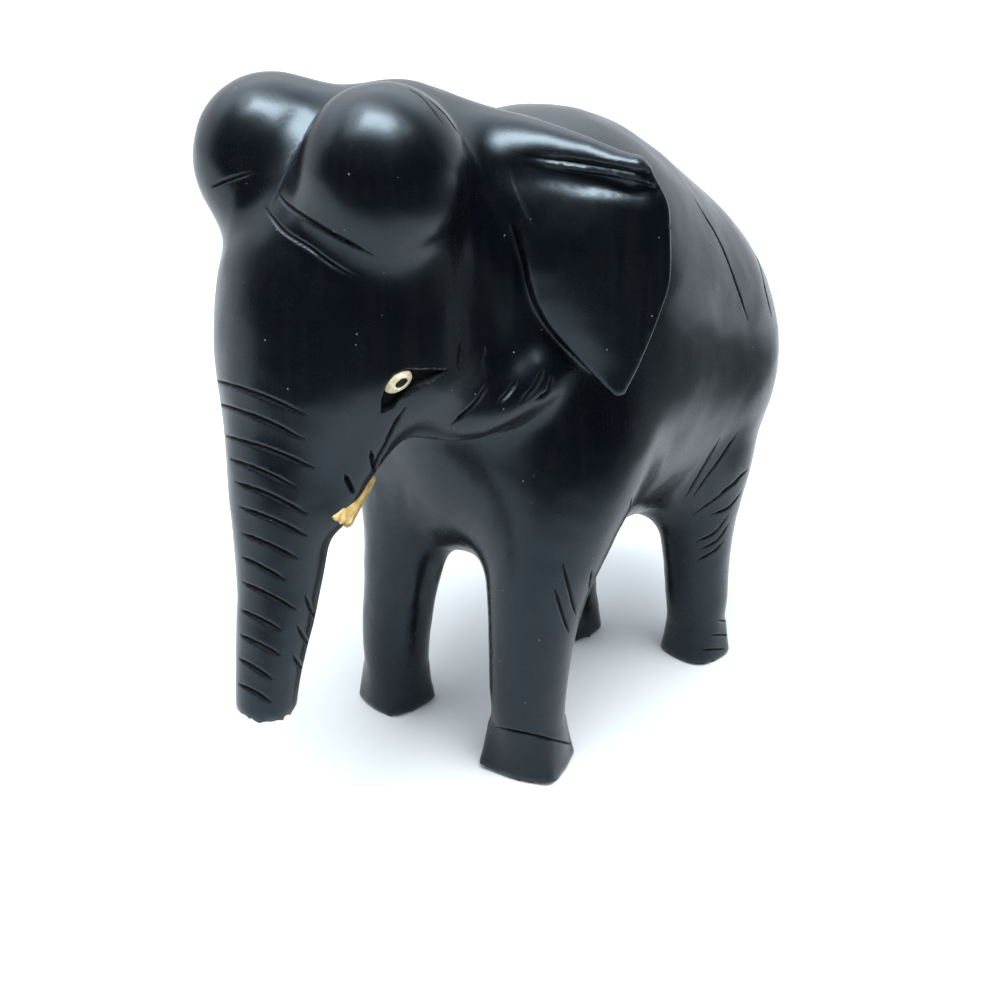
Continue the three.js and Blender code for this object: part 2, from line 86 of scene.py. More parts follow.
# Feet: middle of the sole, half sizes, height, turn and rounding
FRONT_LEFT_FOOT = ((16, -25.6), (7.7, 6.4), 10, 16, 1.6)
FRONT_RIGHT_FOOT = ((-17.6, -25.6), (6.2, 5.8), 9, -8, 1.8)
HIND_LEFT_FOOT = ((18.2, 29.2), (6.2, 5.8), 9, -8, 3)
HIND_RIGHT_FOOT = ((-8.4, 19.4), (6.2, 5.8), 9, -4, 3)
FOOT_TAPER = 0.26
FOOT_FILLET = 2.5

TORSO_FILLET = 22
NECK_FILLET = 10
HEAD_FILLET = 6
DOME_FILLET = 8
BROW_FILLET = 6
LEG_FILLET = 6.5

LIMB_SAMPLES = 24
LIMB_STEPS = 3
LEAST_SPEED_SHARE = 0.3
LEAST_STATION_GAP = 1e-4

# The tail, a plain rod against the rump
TAIL = ((0, 44, 91, 3.8), (0, 55.5, 78, 3), (0, 57, 62, 2.3), (0, 54, 47, 2.8), (0, 50, 38, 1.8))
TAIL_FILLET = 1.6

# The ears: a ridge from the nape to the top rear corner, and under it a sheet between a front edge on the
# neck and a free rear edge, top to tip
EAR_RIDGE = ((3, -28.6, 108.2, 7.3), (18, -24, 110, 5.2), (31, -20.5, 109.2, 2.4))
EAR_RIDGE_FILLET = 8
EAR_FRONT = (
    (13, -28.6, 109.6),
    (17, -31.2, 104.8),
    (19.6, -32.4, 98),
    (20.2, -31.2, 91.4),
    (21.6, -29, 86),
    (25.4, -25.2, 79.8),
    (31, -23, 74.5),
)
EAR_REAR = (
    (32.5, -18.5, 109.5),
    (35, -17, 104.5),
    (35.8, -16.8, 98.5),
    (36, -17, 92.5),
    (35, -18.7, 86),
    (33.6, -20.6, 80),
    (32, -22, 75),
)
EAR_FLARE = 46
EAR_HALF_THICK = 1.5
EAR_BULGE = 1.2
EAR_ROOT_DEPTH = 8
EAR_EDGE_ROUND = 0.7
EAR_FILLET = 1.2
EAR_TOP_FILLET = 5
EAR_TOP_RISE = (93, 105)
EAR_TOP_SPAN = (20, 29)
EAR_LEVEL_SLACK = 0.05
EAR_TURN = math.radians(EAR_FLARE)
EAR_OUTWARD = np.array([math.cos(EAR_TURN), -math.sin(EAR_TURN), 0])
EAR_LEVEL = np.array([math.sin(EAR_TURN), math.cos(EAR_TURN), 0])


# Distance fields on rows of points

def ellipsoid(shape, under=None):
    """An ellipsoid, its half below the centre with a height of its own where one is given."""
    centre, half, tilt = shape
    c, s = math.cos(math.radians(tilt)), math.sin(math.radians(tilt))

    def distance(p):
        q = p - np.array(centre, float)
        q = np.stack([q[:, 0], c * q[:, 1] - s * q[:, 2], c * q[:, 2] + s * q[:, 1]], axis=1)
        sizes = np.tile(np.array(half, float), (len(p), 1))
        if under:
            sizes[q[:, 2] < 0, 2] = under
        k0 = np.linalg.norm(q / sizes, axis=1)
        k1 = np.maximum(np.linalg.norm(q / sizes**2, axis=1), TINY)
        return k0 * (k0 - 1) / k1

    return distance


def centripetal(points, pieces):
    """Points along a centripetal Catmull-Rom curve, the same share of the run of stations apart."""
    points = np.array(points, float)
    first = 2 * points[0] - points[1]
    last = 2 * points[-1] - points[-2]
    padded = np.vstack([first, points, last])
    spans = len(points) - 1
    made = []
    for i in range(pieces + 1):
        along = i / pieces * spans
        k = min(int(along), spans - 1)
        f = along - k
        p0, p1, p2, p3 = padded[k:k + 4]
        pairs = ((p0, p1), (p1, p2), (p2, p3))
        d0, d1, d2 = (max(np.linalg.norm(b - a) ** 0.5, LEAST_STATION_GAP) for a, b in pairs)
        t1 = ((p1 - p0) / d0 - (p2 - p0) / (d0 + d1) + (p2 - p1) / d1) * d1
        t2 = ((p2 - p1) / d1 - (p3 - p1) / (d1 + d2) + (p3 - p2) / d2) * d1
        a = 2 * p1 - 2 * p2 + t1 + t2
        b = -3 * p1 + 3 * p2 - 2 * t1 - t2
        made.append(((a * f + b) * f + t1) * f + p1)
    return np.array(made)


BOX_REACH = 18


def boxed(form, low, high):
    """A form worked out only near its own box; further off the gap to the box stands for it."""
    def distance(p):
        d = np.linalg.norm(np.maximum(np.maximum(low - p, p - high), 0), axis=1)
        near = d < BOX_REACH
        d[near] = form(p[near])
        return d

    return distance


def limb(stations):
    """A rod of changing radius along a smooth line through its stations."""
    stations = np.array(stations, float)
    gaps = np.linalg.norm(np.diff(stations[:, :3], axis=0), axis=1)
    knots = np.concatenate([[0], np.cumsum(gaps)])
    rates = np.diff(stations, axis=0) / gaps[:, None]
    rows = np.eye(len(stations))
    turns = np.zeros_like(stations)
    for i in range(1, len(stations) - 1):
        rows[i, i - 1:i + 2] = gaps[i - 1] / 6, (gaps[i - 1] + gaps[i]) / 3, gaps[i] / 6
        turns[i] = rates[i] - rates[i - 1]
    bends = np.linalg.solve(rows, turns)
    rows[0, :2] = gaps[0] / 3, gaps[0] / 6
    rows[-1, -2:] = gaps[-1] / 6, gaps[-1] / 3
    turns[0], turns[-1] = rates[0], -rates[-1]
    bends[:, 3] = np.linalg.solve(rows, turns[:, 3])

    def at(t):
        k = np.clip(np.searchsorted(knots, t, "right") - 1, 0, len(gaps) - 1)
        g = gaps[k][:, None]
        b = (t - knots[k])[:, None] / g
        a = 1 - b
        start, stop = stations[k], stations[k + 1]
        bend_a, bend_b = bends[k], bends[k + 1]
        place = a * start + b * stop + ((a**3 - a) * bend_a + (b**3 - b) * bend_b) * g * g / 6
        rate = (stop - start) / g + ((3 * b * b - 1) * bend_b - (3 * a * a - 1) * bend_a) * g / 6
        return place, rate[:, :3], (a * bend_a + b * bend_b)[:, :3]

    samples = np.linspace(0, knots[-1], LIMB_SAMPLES)
    spine = at(samples)[0]

    def distance(p):
        best = np.full(len(p), np.inf)
        t = np.zeros(len(p))
        for along, place in zip(samples, spine):
            d = ((p - place[:3]) ** 2).sum(axis=1)
            closer = d < best
            best[closer] = d[closer]
            t[closer] = along
        for _ in range(LIMB_STEPS):
            place, rate, bend = at(t)
            off = place[:, :3] - p
            speed = (rate * rate).sum(axis=1)
            pull = np.maximum(speed + (off * bend).sum(axis=1), LEAST_SPEED_SHARE * speed)
            t = np.clip(t - (off * rate).sum(axis=1) / pull, 0, knots[-1])
        place = at(t)[0]
        return np.linalg.norm(p - place[:, :3], axis=1) - place[:, 3]

    low = (spine[:, :3] - spine[:, 3:]).min(axis=0)
    high = (spine[:, :3] + spine[:, 3:]).max(axis=0)
    return boxed(distance, low, high)


def block(foot):
    """A foot: a rounded block that narrows upwards."""
    middle, half, high, turn, rounding = foot
    c, s = math.cos(math.radians(turn)), math.sin(math.radians(turn))

    def distance(p):
        dx, dy = p[:, 0] - middle[0], p[:, 1] - middle[1]
        narrow = 1 - FOOT_TAPER * np.clip(p[:, 2] / high, 0, 1)
        q = np.stack([
            np.abs(c * dx + s * dy) - half[0] * narrow,
            np.abs(c * dy - s * dx) - half[1] * narrow,
            np.abs(p[:, 2]) - high,
        ])
        q += rounding
        return np.linalg.norm(np.maximum(q, 0), axis=0) + np.minimum(q.max(axis=0), 0) - rounding

    return distance


def folded(p):
    """Points brought over to the elephant's left side."""
    return np.abs(p) * (1, 0, 0) + p * (0, 1, 1)


def mirrored(form):
    return lambda p: form(folded(p))


def blend(width, *forms):
    """Forms run together over a width, or over one that changes from place to place."""
    def distance(p):
        wide = width(p) if callable(width) else width
        d = forms[0](p)
        for form in forms[1:]:
            e = form(p)
            h = np.maximum(wide - np.abs(d - e), 0) / wide
            d = np.minimum(d, e) - h * h * wide / 4
        return d

    return distance


def smooth_rise(x, low, high):
    """From 0 at the low value to 1 at the high one, without a corner at either."""
    f = np.clip((x - low) / (high - low), 0, 1)
    return f * f * (3 - 2 * f)


EAR_STEPS = 60
EAR_SOLVE_STEPS = 8


def ear(p):
    """One ear as a slab over its own plane: an outline in the plane, and an inner and an outer face."""
    front = centripetal(EAR_FRONT, EAR_STEPS)
    rear = centripetal(EAR_REAR, EAR_STEPS)
    ways = np.linspace(0, 1, EAR_STEPS + 1)
    front_along, rear_along = front @ EAR_LEVEL, rear @ EAR_LEVEL
    along, out, high = p @ EAR_LEVEL, p @ EAR_OUTWARD, p[:, 2]

    def at(w, values):
        return np.interp(w, ways, values)

    def edges(w):
        return at(w, front_along), at(w, rear_along), at(w, front[:, 2]), at(w, rear[:, 2])

    tall = front[0, 2] - front[-1, 2]
    w = np.clip((front[0, 2] - high) / tall, 0, 1)
    for _ in range(EAR_SOLVE_STEPS):
        near, far, near_z, far_z = edges(w)
        u = np.clip((along - near) / (far - near), 0, 1)
        w = np.clip(w + (near_z + (far_z - near_z) * u - high) / tall, 0, 1)
    near, far, near_z, far_z = edges(w)
    u = np.clip((along - near) / (far - near), 0, 1)
    over = np.abs(high - near_z - (far_z - near_z) * u)
    lean_near = 1 / np.hypot(1, at(w, np.gradient(front_along, front[:, 2])))
    lean_far = 1 / np.hypot(1, at(w, np.gradient(rear_along, rear[:, 2])))
    outline = np.maximum((near - along) * lean_near, (along - far) * lean_far)
    top = high - (front[0, 2] + (rear[0, 2] - front[0, 2]) * u)
    foot = front[-1, 2] + (rear[-1, 2] - front[-1, 2]) * u - high
    outline = np.maximum(outline, np.maximum(top, foot))
    outline = np.where(over > EAR_LEVEL_SLACK, np.maximum(outline, over), outline)
    middle = at(w, front @ EAR_OUTWARD) * (1 - u) + at(w, rear @ EAR_OUTWARD) * u
    middle += EAR_BULGE * np.sin(np.pi * u) * np.sin(np.pi * w)
    depth = EAR_HALF_THICK + EAR_ROOT_DEPTH * (1 - u) ** 2 * np.sqrt(1 - w)
    face = np.maximum(out - middle - EAR_HALF_THICK, middle - depth - out)
    a, b = outline + EAR_EDGE_ROUND, face + EAR_EDGE_ROUND
    return np.minimum(np.maximum(a, b), 0) + np.hypot(np.maximum(a, 0), np.maximum(b, 0)) - EAR_EDGE_ROUND


def ear_fillet(p):
    """The ear runs into the neck at the top of its front edge and stands clear of it further down."""
    front = smooth_rise(p[:, 2], *EAR_TOP_RISE) * (1 - smooth_rise(np.abs(p[:, 0]), *EAR_TOP_SPAN))
    return EAR_FILLET + (EAR_TOP_FILLET - EAR_FILLET) * front


def elephant_forms():
    torso = blend(TORSO_FILLET, ellipsoid(BARREL), ellipsoid(RUMP), ellipsoid(SHOULDERS))
    trunkline = blend(NECK_FILLET, torso, ellipsoid(CHEST), limb(NECK))
    head = blend(
        HEAD_FILLET,
        ellipsoid(SKULL, SKULL_UNDER),
        ellipsoid(FACE),
        mirrored(ellipsoid(CHEEK)),
        limb(TRUNK),
        mirrored(limb(LIP)),
        ellipsoid(JAW),
        mirrored(limb(JAWLINE)),
    )
    head = blend(BROW_FILLET, head, blend(DOME_FILLET, ellipsoid(CROWN), mirrored(ellipsoid(DOME))))
    legs = [
        blend(FOOT_FILLET, limb(leg), block(foot))
        for leg, foot in (
            (FRONT_LEFT_LEG, FRONT_LEFT_FOOT),
            (FRONT_RIGHT_LEG, FRONT_RIGHT_FOOT),
            (HIND_LEFT_LEG, HIND_LEFT_FOOT),
            (HIND_RIGHT_LEG, HIND_RIGHT_FOOT),
        )
    ]
    animal = blend(LEG_FILLET, blend(HEAD_FILLET, trunkline, head), *legs)
    animal = blend(EAR_RIDGE_FILLET, animal, mirrored(limb(EAR_RIDGE)))
    sheet = np.array(EAR_FRONT + EAR_REAR)
    thick = EAR_HALF_THICK + EAR_ROOT_DEPTH
    ears = mirrored(boxed(ear, sheet.min(axis=0) - thick, sheet.max(axis=0) + thick))
    return blend(ear_fillet, blend(TAIL_FILLET, animal, limb(TAIL)), ears)


forms = elephant_forms()
PROBE = 0.05
CLOSE_ENOUGH = 0.004
LEAST_SLOPE = 0.3


def slope(p):
    """How fast the distance to the forms grows at each point, and in which direction."""
    corners = np.array([(1, 1, 1), (1, -1, -1), (-1, 1, -1), (-1, -1, 1)], float)
    return sum(c * forms(p + c * PROBE)[:, None] for c in corners) / (4 * PROBE)


def onto_forms(p, share, steps=2):
    """Draws points onto the forms, each by its share."""
    p = p.copy()
    for _ in range(steps):
        d = forms(p)
        far = np.abs(d) > CLOSE_ENOUGH
        g = slope(p[far])
        size = np.maximum((g * g).sum(axis=1), LEAST_SLOPE)
        p[far] -= (share[far] * d[far] / size)[:, None] * g
    return p


# Between the carver's millimetres and the frame's metres

def to_mm(p):
    return np.asarray(p) / MM + FEET_LINE


def to_frame(p):
    return (np.asarray(p) - FEET_LINE) * MM


def coords_of(mesh):
    flat = np.empty(len(mesh.vertices) * 3)
    mesh.vertices.foreach_get("co", flat)
    return flat.reshape(-1, 3)


def coords_in(bm):
    return np.array([v.co[:] for v in bm.verts])


def set_coords_in(bm, p):
    for v, co in zip(bm.verts, p):
        v.co = co


# The photograph's lines of sight

TURN, PITCH = math.radians(CAMERA_TURN), math.radians(CAMERA_PITCH)
AHEAD = np.array([-math.sin(TURN) * math.cos(PITCH), math.cos(TURN) * math.cos(PITCH), -math.sin(PITCH)])
RIGHTWARD = np.array([math.cos(TURN), math.sin(TURN), 0.0])
DOWNWARD = np.cross(AHEAD, RIGHTWARD)


def sight(x, y):
    """The direction in which the camera sees a picture point."""
    off = (np.array([x, y]) - PICTURE / 2) / CAMERA_REACH
    d = AHEAD + RIGHTWARD * off[0] + DOWNWARD * off[1]
    return d / np.linalg.norm(d)


# The carving's own mesh

SKIN_CELL = 1.05 * MM
MERGE_GAP = 1e-7
FIRST_STEPS = 4
RELAX_ROUNDS = 2
BLANK_SWELL = 0.4
STUB_PLUG_LONG = 0.8
RELAX_SHARE = 0.5
SIDES = (("left", 1), ("right", -1))
PLUG_SWELL = 0.45 * MM
EYE_CENTRE = (16.2, -56.8, 82.7)
EYE_TILT = 28
STUB_ROOT = (7.9, -55.3, 65.2)
STUB_END = (8.6, -62.9, 59.9)
SOLE_SNAP = 0.44
TRUNK_CUT = (0, -73, 28.4)
TRUNK_CUT_TURN = 8
TRUNK_CUT_SNAP = 0.5
TRUNK_END_ROUND = 8


def plain_mesh_object(name, bm):
    mesh = bpy.data.meshes.new(name)
    bm.to_mesh(mesh)
    bm.free()
    obj = bpy.data.objects.new(name, mesh)
    bpy.context.scene.collection.objects.link(obj)
    return obj


def add_shell(bm, shell, name):
    """Joins another closed shell to a mesh."""
    mesh = bpy.data.meshes.new(name)
    shell.to_mesh(mesh)
    shell.free()
    bm.from_mesh(mesh)
    bpy.data.meshes.remove(mesh)


def merged_node(name):
    bm = bmesh.new()
    bm.from_mesh(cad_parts[name].data)
    bmesh.ops.remove_doubles(bm, verts=bm.verts, dist=MERGE_GAP)
    bm.normal_update()
    return bm


def add_plug(bm, name, side):
    """Fills an eye's pocket with a swollen copy of the eye, and a tusk stub's at the root end only."""
    plug = merged_node(name)
    for v in plug.verts:
        v.co += v.normal * PLUG_SWELL
    if name.startswith("tusk"):
        root, end = (np.array(place) * (side, 1, 1) for place in (STUB_ROOT, STUB_END))
        stop = root + (end - root) / np.linalg.norm(end - root) * STUB_PLUG_LONG
        cut = bmesh.ops.bisect_plane(
            plug, geom=plug.verts[:] + plug.edges[:] + plug.faces[:], plane_co=to_frame(stop),
            plane_no=Vector(end - root), clear_outer=True,
        )
        edges = [e for e in cut["geom_cut"] if isinstance(e, bmesh.types.BMEdge)]
        bmesh.ops.edgeloop_fill(plug, edges=edges)
    add_shell(bm, plug, name)


def ear_blank(side):
    """A closed sheet in the ear's outline, a little fatter than the ear."""
    front, rear = centripetal(EAR_FRONT, EAR_STEPS), centripetal(EAR_REAR, EAR_STEPS)
    bm = bmesh.new()
    bmesh.ops.create_grid(bm, x_segments=EAR_STEPS // 2, y_segments=EAR_STEPS, size=0.5)
    made = bmesh.ops.extrude_face_region(bm, geom=bm.faces[:])
    outer = {v for v in made["geom"] if isinstance(v, bmesh.types.BMVert)}
    for v in bm.verts:
        u, w = v.co.x + 0.5, 0.5 - v.co.y
        row = min(int(round(w * EAR_STEPS)), EAR_STEPS)
        place = front[row] * (1 - u) + rear[row] * u
        place = place + EAR_OUTWARD * EAR_BULGE * math.sin(math.pi * u) * math.sin(math.pi * w)
        depth = EAR_HALF_THICK + EAR_ROOT_DEPTH * (1 - u) ** 2 * math.sqrt(1 - w)
        shift = EAR_HALF_THICK + BLANK_SWELL if v in outer else -depth - BLANK_SWELL
        v.co = to_frame((place + EAR_OUTWARD * shift) * (side, 1, 1))
    bmesh.ops.recalc_face_normals(bm, faces=bm.faces)
    return bm


def filled_carving():
    """The solid's mesh with its pockets filled and its ears fattened, remeshed in fine even cells."""
    bm = merged_node("elephant")
    for word, side in SIDES:
        add_plug(bm, "eye_" + word, side)
        add_plug(bm, "tusk_stub_" + word, side)
        add_shell(bm, ear_blank(side), "ear_blank")
    rough = plain_mesh_object("rough", bm)
    cells = rough.modifiers.new("cells", "REMESH")
    cells.mode = "VOXEL"
    cells.voxel_size = SKIN_CELL
    graph = bpy.context.evaluated_depsgraph_get()
    mesh = bpy.data.meshes.new_from_object(rough.evaluated_get(graph))
    bpy.data.objects.remove(rough)
    made = bmesh.new()
    made.from_mesh(mesh)
    bpy.data.meshes.remove(mesh)
    return made


def near_segment(p, a, b):
    a, b = np.array(a, float), np.array(b, float)
    e = b - a
    h = np.clip((p - a) @ e / (e @ e), 0, 1)
    return np.linalg.norm(p - a - h[:, None] * e, axis=1)


BREAK_UP = np.array([math.sin(math.radians(TRUNK_CUT_TURN)), 0, math.cos(math.radians(TRUNK_CUT_TURN))])


def above_cut(p):
    """Height over the plane in which the trunk is broken off."""
    return (p - np.array(TRUNK_CUT, float)) @ BREAK_UP


def on_trunk_break(p):
    near = np.hypot(p[:, 0] - TRUNK_CUT[0], p[:, 1] - TRUNK_CUT[1]) < TRUNK_END_ROUND
    return (np.abs(above_cut(p)) < TRUNK_CUT_SNAP) & near


def follow_share(p):
    """Whether each point belongs to the plain forms: 1 on the skin, 0 on the soles and the trunk's break."""
    return np.where((p[:, 2] < SOLE_SNAP) | on_trunk_break(p), 0.0, 1.0)


def drawn_to_forms(p, steps=2):
    p = onto_forms(p, follow_share(p), steps)
    p[p[:, 2] < SOLE_SNAP, 2] = 0
    flat = on_trunk_break(p)
    p[flat] -= above_cut(p[flat])[:, None] * BREAK_UP
    return p


def relaxed(bm):
    """Evens out the cells over the skin."""
    free = follow_share(coords_in(bm)) > 0
    verts = [v for v, moves in zip(bm.verts, free) if moves]
    axes = {"use_axis_x": True, "use_axis_y": True, "use_axis_z": True}
    bmesh.ops.smooth_vert(bm, verts=verts, factor=RELAX_SHARE, **axes)
    set_coords_in(bm, drawn_to_forms(coords_in(bm)))


carving_bm = filled_carving()
set_coords_in(carving_bm, drawn_to_forms(to_mm(coords_in(carving_bm)), FIRST_STEPS))
for _ in range(RELAX_ROUNDS):
    relaxed(carving_bm)
points = coords_in(carving_bm)
carving_bm.verts.index_update()
skin_faces = [[v.index for v in f.verts] for f in carving_bm.faces]
skin_tree = BVHTree.FromPolygons(points.tolist(), skin_faces)

# Carved lines, as picture points: the run of each, its half width and its depth in millimetres, and
# whether the far side has it too

TRUNK_LINES = (
    ((214, 380), (258, 394), (305, 414)),
    ((218, 404), (260, 418), (305, 440)),
    ((226, 436), (268, 449), (314, 468)),
    ((231, 459), (262, 471), (295, 487)),
    ((235, 482), (270, 495), (307, 514)),
    ((239, 507), (272, 519), (307, 536)),
    ((241, 533), (268, 544), (297, 558)),
    ((242, 557), (262, 567), (285, 580)),
    ((242, 582), (267, 594), (295, 609)),
    ((241, 610), (260, 619), (281, 630)),
    ((240, 635), (259, 644), (280, 655)),
    ((239, 659), (255, 668), (272, 679)),
    ((239, 684), (255, 692), (271, 702)),
)
TRUNK_NICKS = (
    ((305, 596), (314, 616)),
    ((297, 626), (309, 645)),
    ((293, 656), (305, 672)),
)
BROW_LINES = (
    ((278, 192), (287, 205), (314, 223), (343, 240), (373, 255)),
    ((266, 208), (283, 230), (310, 248), (333, 265), (358, 278)),
)
FAR_BROW_LINES = (((212, 187), (226, 181), (253, 172)),)
NAPE_LINES = (
    ((408, 88), (423, 98), (442, 123)),
    ((427, 98), (444, 114), (459, 134)),
)
MOUTH_LINES = (
    ((374, 472), (379, 458), (386, 445), (393, 430), (405, 408)),
    ((345, 475), (354, 493)),
    ((371, 451), (376, 472)),
)
CHEEK_LINES = (
    ((487, 385), (476, 403), (452, 424)),
    ((516, 381), (507, 395), (498, 403)),
    ((543, 369), (535, 386), (521, 403)),
    ((552, 376), (548, 392), (536, 400)),
    ((463, 340), (459, 370)),
    ((484, 348), (483, 357)),
)
EAR_SCRATCHES = (((509, 167), (521, 199), (533, 227)),)
EAR_LEDGES = (
    (((511, 160), (530, 156), (560, 158), (610, 166), (664, 176)), 1.7),
    (((512, 162), (530, 165), (560, 170), (610, 178), (666, 190)), 3.6),
)
FLANK_LINES = (
    ((670, 225), (690, 280), (704, 332), (702, 392)),
    ((695, 199), (721, 245), (748, 320)),
    ((735, 220), (756, 255), (772, 317)),
)
THIGH_LINES = (
    ((720, 438), (704, 466), (686, 496)),
    ((737, 432), (716, 464), (693, 496)),
    ((748, 469), (722, 494), (693, 515)),
    ((739, 480), (721, 493)),
    ((742, 491), (729, 507), (711, 515)),
    ((729, 514), (715, 532), (696, 542)),
    ((729, 523), (717, 540), (700, 550)),
    ((724, 540), (715, 550), (697, 561)),
)
HIND_FOOT_LINES = (
    ((718, 620), (730, 622)),
    ((711, 635), (729, 635)),
    ((701, 650), (724, 649)),
)
FRONT_LEG_LINES = (
    ((563, 565), (569, 588), (576, 614)),
    ((555, 590), (562, 612), (569, 632)),
    ((631, 499), (630, 514)),
    ((622, 523), (620, 540)),
    ((592, 571), (590, 588)),
)
ANKLE_LINES = (((496, 727), (522, 733), (571, 744)),)
LINE_GROUPS = (
    (TRUNK_LINES, 0.42, 0.42, False),
    (TRUNK_NICKS, 0.45, 0.4, False),
    (BROW_LINES, 0.42, 0.45, False),
    (FAR_BROW_LINES, 0.4, 0.4, False),
    (NAPE_LINES, 0.35, 0.3, True),
    (MOUTH_LINES, 0.55, 0.7, True),
    (CHEEK_LINES, 0.5, 0.5, True),
    (EAR_SCRATCHES, 0.22, 0.12, False),
    (FLANK_LINES, 0.42, 0.36, True),
    (THIGH_LINES, 0.4, 0.36, True),
    (HIND_FOOT_LINES, 0.36, 0.3, False),
    (FRONT_LEG_LINES, 0.5, 0.42, True),
    (ANKLE_LINES, 0.4, 0.4, False),
)
LINE_STEP = 0.5
LEAST_LINE_STEPS = 4
LEAST_LINE_POINTS = 3
LINE_JUMP = 2.5
SAMPLE_GAP = 0.08
END_SHARE = 0.22
END_WIDE = 0.55
END_DEEP = 0.15


def cast(x, y):
    place, _, _, _ = skin_tree.ray_cast(Vector(CAMERA_PLACE), Vector(sight(x, y)))
    return None if place is None else np.array(place)


def run_on_skin(run):
    """A picture line laid on the skin, stopped where it would leap over a gap."""
    run = np.array(run, float)
    length = np.linalg.norm(np.diff(run, axis=0), axis=1).sum()
    laid = []
    for x, y in centripetal(run, max(LEAST_LINE_STEPS, int(length / LINE_STEP))):
        place = cast(x, y)
        if place is None:
            continue
        if laid and np.linalg.norm(place - laid[-1]) > LINE_JUMP:
            break
        laid.append(place)
    return np.array(laid)


def across(laid):
    """The same line on the other side of the animal."""
    return np.array([skin_tree.find_nearest(Vector(p * (-1, 1, 1)))[0][:] for p in laid])


def even_samples(laid):
    steps = np.concatenate([[0], np.cumsum(np.linalg.norm(np.diff(laid, axis=0), axis=1))])
    t = np.linspace(0, steps[-1], max(2, int(steps[-1] / SAMPLE_GAP)))
    return np.stack([np.interp(t, steps, laid[:, i]) for i in range(3)], axis=1), t / steps[-1]


def point_tree(places):
    tree = KDTree(len(places))
    for i, p in enumerate(places):
        tree.insert(p, i)
    tree.balance()
    return tree


cut_places, cut_sizes = [], []
for group, wide, deep, both in LINE_GROUPS:
    for run in group:
        laid = run_on_skin(run)
        if len(laid) < LEAST_LINE_POINTS:
            continue
        for line in (laid, across(laid)) if both else (laid,):
            places, share = even_samples(line)
            ends = np.minimum(smooth_rise(share, 0, END_SHARE), smooth_rise(1 - share, 0, END_SHARE))
            widths = wide * (END_WIDE + (1 - END_WIDE) * ends)
            depths = deep * (END_DEEP + (1 - END_DEEP) * ends)
            cut_places.append(places)
            cut_sizes.append(np.stack([widths, depths], axis=1))
cut_sizes = np.concatenate(cut_sizes)
cut_tree = point_tree(np.concatenate(cut_places))

# The ledges at the top of each ear: a step down along a line, with a long run-out below it

LEDGE_DEEP = 0.8
LEDGE_WALL = 0.6
LEDGE_FOOT = 0.15
LEDGE_FRONT_SHARE = 0.4
LEDGE_REAR_SHARE = 0.1
LEDGE_SHADE = 0.6
EAR_FACING = np.array([0.64, -0.77, 0.0])
EAR_FACING_RISE = (-0.2, 0.3)

ledges = []
for run, long in EAR_LEDGES:
    places, share = even_samples(run_on_skin(run))
    force = smooth_rise(share, 0, LEDGE_FRONT_SHARE) * smooth_rise(1 - share, 0, LEDGE_REAR_SHARE)
    ledges.append((point_tree(places), places, force, long))


def below_ledge(p, tree, places):
    """How far each point lies below a ledge's line, negative above it, and the sample nearest to it."""
    found = [tree.find(q) for q in p]
    which = np.array([f[1] for f in found])
    gap = np.array([f[2] for f in found])
    return np.where(p[:, 2] > places[which, 2], -gap, gap), which


def ledge_work(p, out):
    """How deep the ledges lie under the skin at each point, and how much of their wall is there."""
    out = np.where((p[:, :1] < 0), out * (-1, 1, 1), out)
    p = folded(p)
    facing = smooth_rise(out @ EAR_FACING, *EAR_FACING_RISE)
    deep, wall = np.zeros(len(p)), np.zeros(len(p))
    for tree, places, force, long in ledges:
        below, which = below_ledge(p, tree, places)
        step = force[which] * facing * smooth_rise(below, -LEDGE_WALL, LEDGE_FOOT)
        deep += LEDGE_DEEP * step * (1 - smooth_rise(below, LEDGE_FOOT, long))
        wall = np.maximum(wall, step * (1 - smooth_rise(below, 0, LEDGE_WALL)))
    return deep, wall


# The eye sockets: an almond cut on each side, as picture points, laid out flat about the eye

ALMOND = (
    (381, 414), (381, 400), (386, 386), (394, 375), (406, 369), (420, 370), (432, 369), (449, 370),
    (434, 381), (420, 387), (411, 394), (401, 398), (393, 408),
)
SOCKET_DEEP = 0.85
SOCKET_WALL = 0.45
SOCKET_RIM = 0.25
SOCKET_REACH = 9.0
eye_spot = np.array(skin_tree.find_nearest(Vector(EYE_CENTRE))[0])
eye_out = slope(eye_spot[None])[0]
eye_out /= np.linalg.norm(eye_out)
eye_level = np.cross((0, 0, 1), eye_out)
eye_level /= np.linalg.norm(eye_level)
eye_up = np.cross(eye_out, eye_level)
tilt = math.radians(EYE_TILT)
eye_level, eye_up = (
    math.cos(tilt) * eye_level + math.sin(tilt) * eye_up,
    math.cos(tilt) * eye_up - math.sin(tilt) * eye_level,
)
almond = np.array([cast(x, y) for x, y in ALMOND]) - eye_spot
almond = np.stack([almond @ eye_level, almond @ eye_up], axis=1)


def inside_outline(p, corners):
    """Signed distance to a closed outline in the plane, positive inside."""
    best = np.full(len(p), np.inf)
    inside = np.zeros(len(p), bool)
    for a, b in zip(corners, np.roll(corners, -1, axis=0)):
        e = b - a
        h = np.clip((p - a) @ e / (e @ e), 0, 1)
        best = np.minimum(best, np.linalg.norm(p - a - h[:, None] * e, axis=1))
        crosses = (a[1] > p[:, 1]) != (b[1] > p[:, 1])
        if a[1] != b[1]:
            inside ^= crosses & (p[:, 0] < a[0] + (p[:, 1] - a[1]) / (b[1] - a[1]) * e[0])
    return np.where(inside, best, -best)


def socket_depth(p):
    side = folded(p) - eye_spot
    depth = np.full(len(p), -SOCKET_REACH)
    close = np.linalg.norm(side, axis=1) < SOCKET_REACH
    flat = np.stack([side[close] @ eye_level, side[close] @ eye_up], axis=1)
    depth[close] = inside_outline(flat, almond)
    return depth


# Finer cells where the skin turns sharply, along the lines, in the sockets and at the break

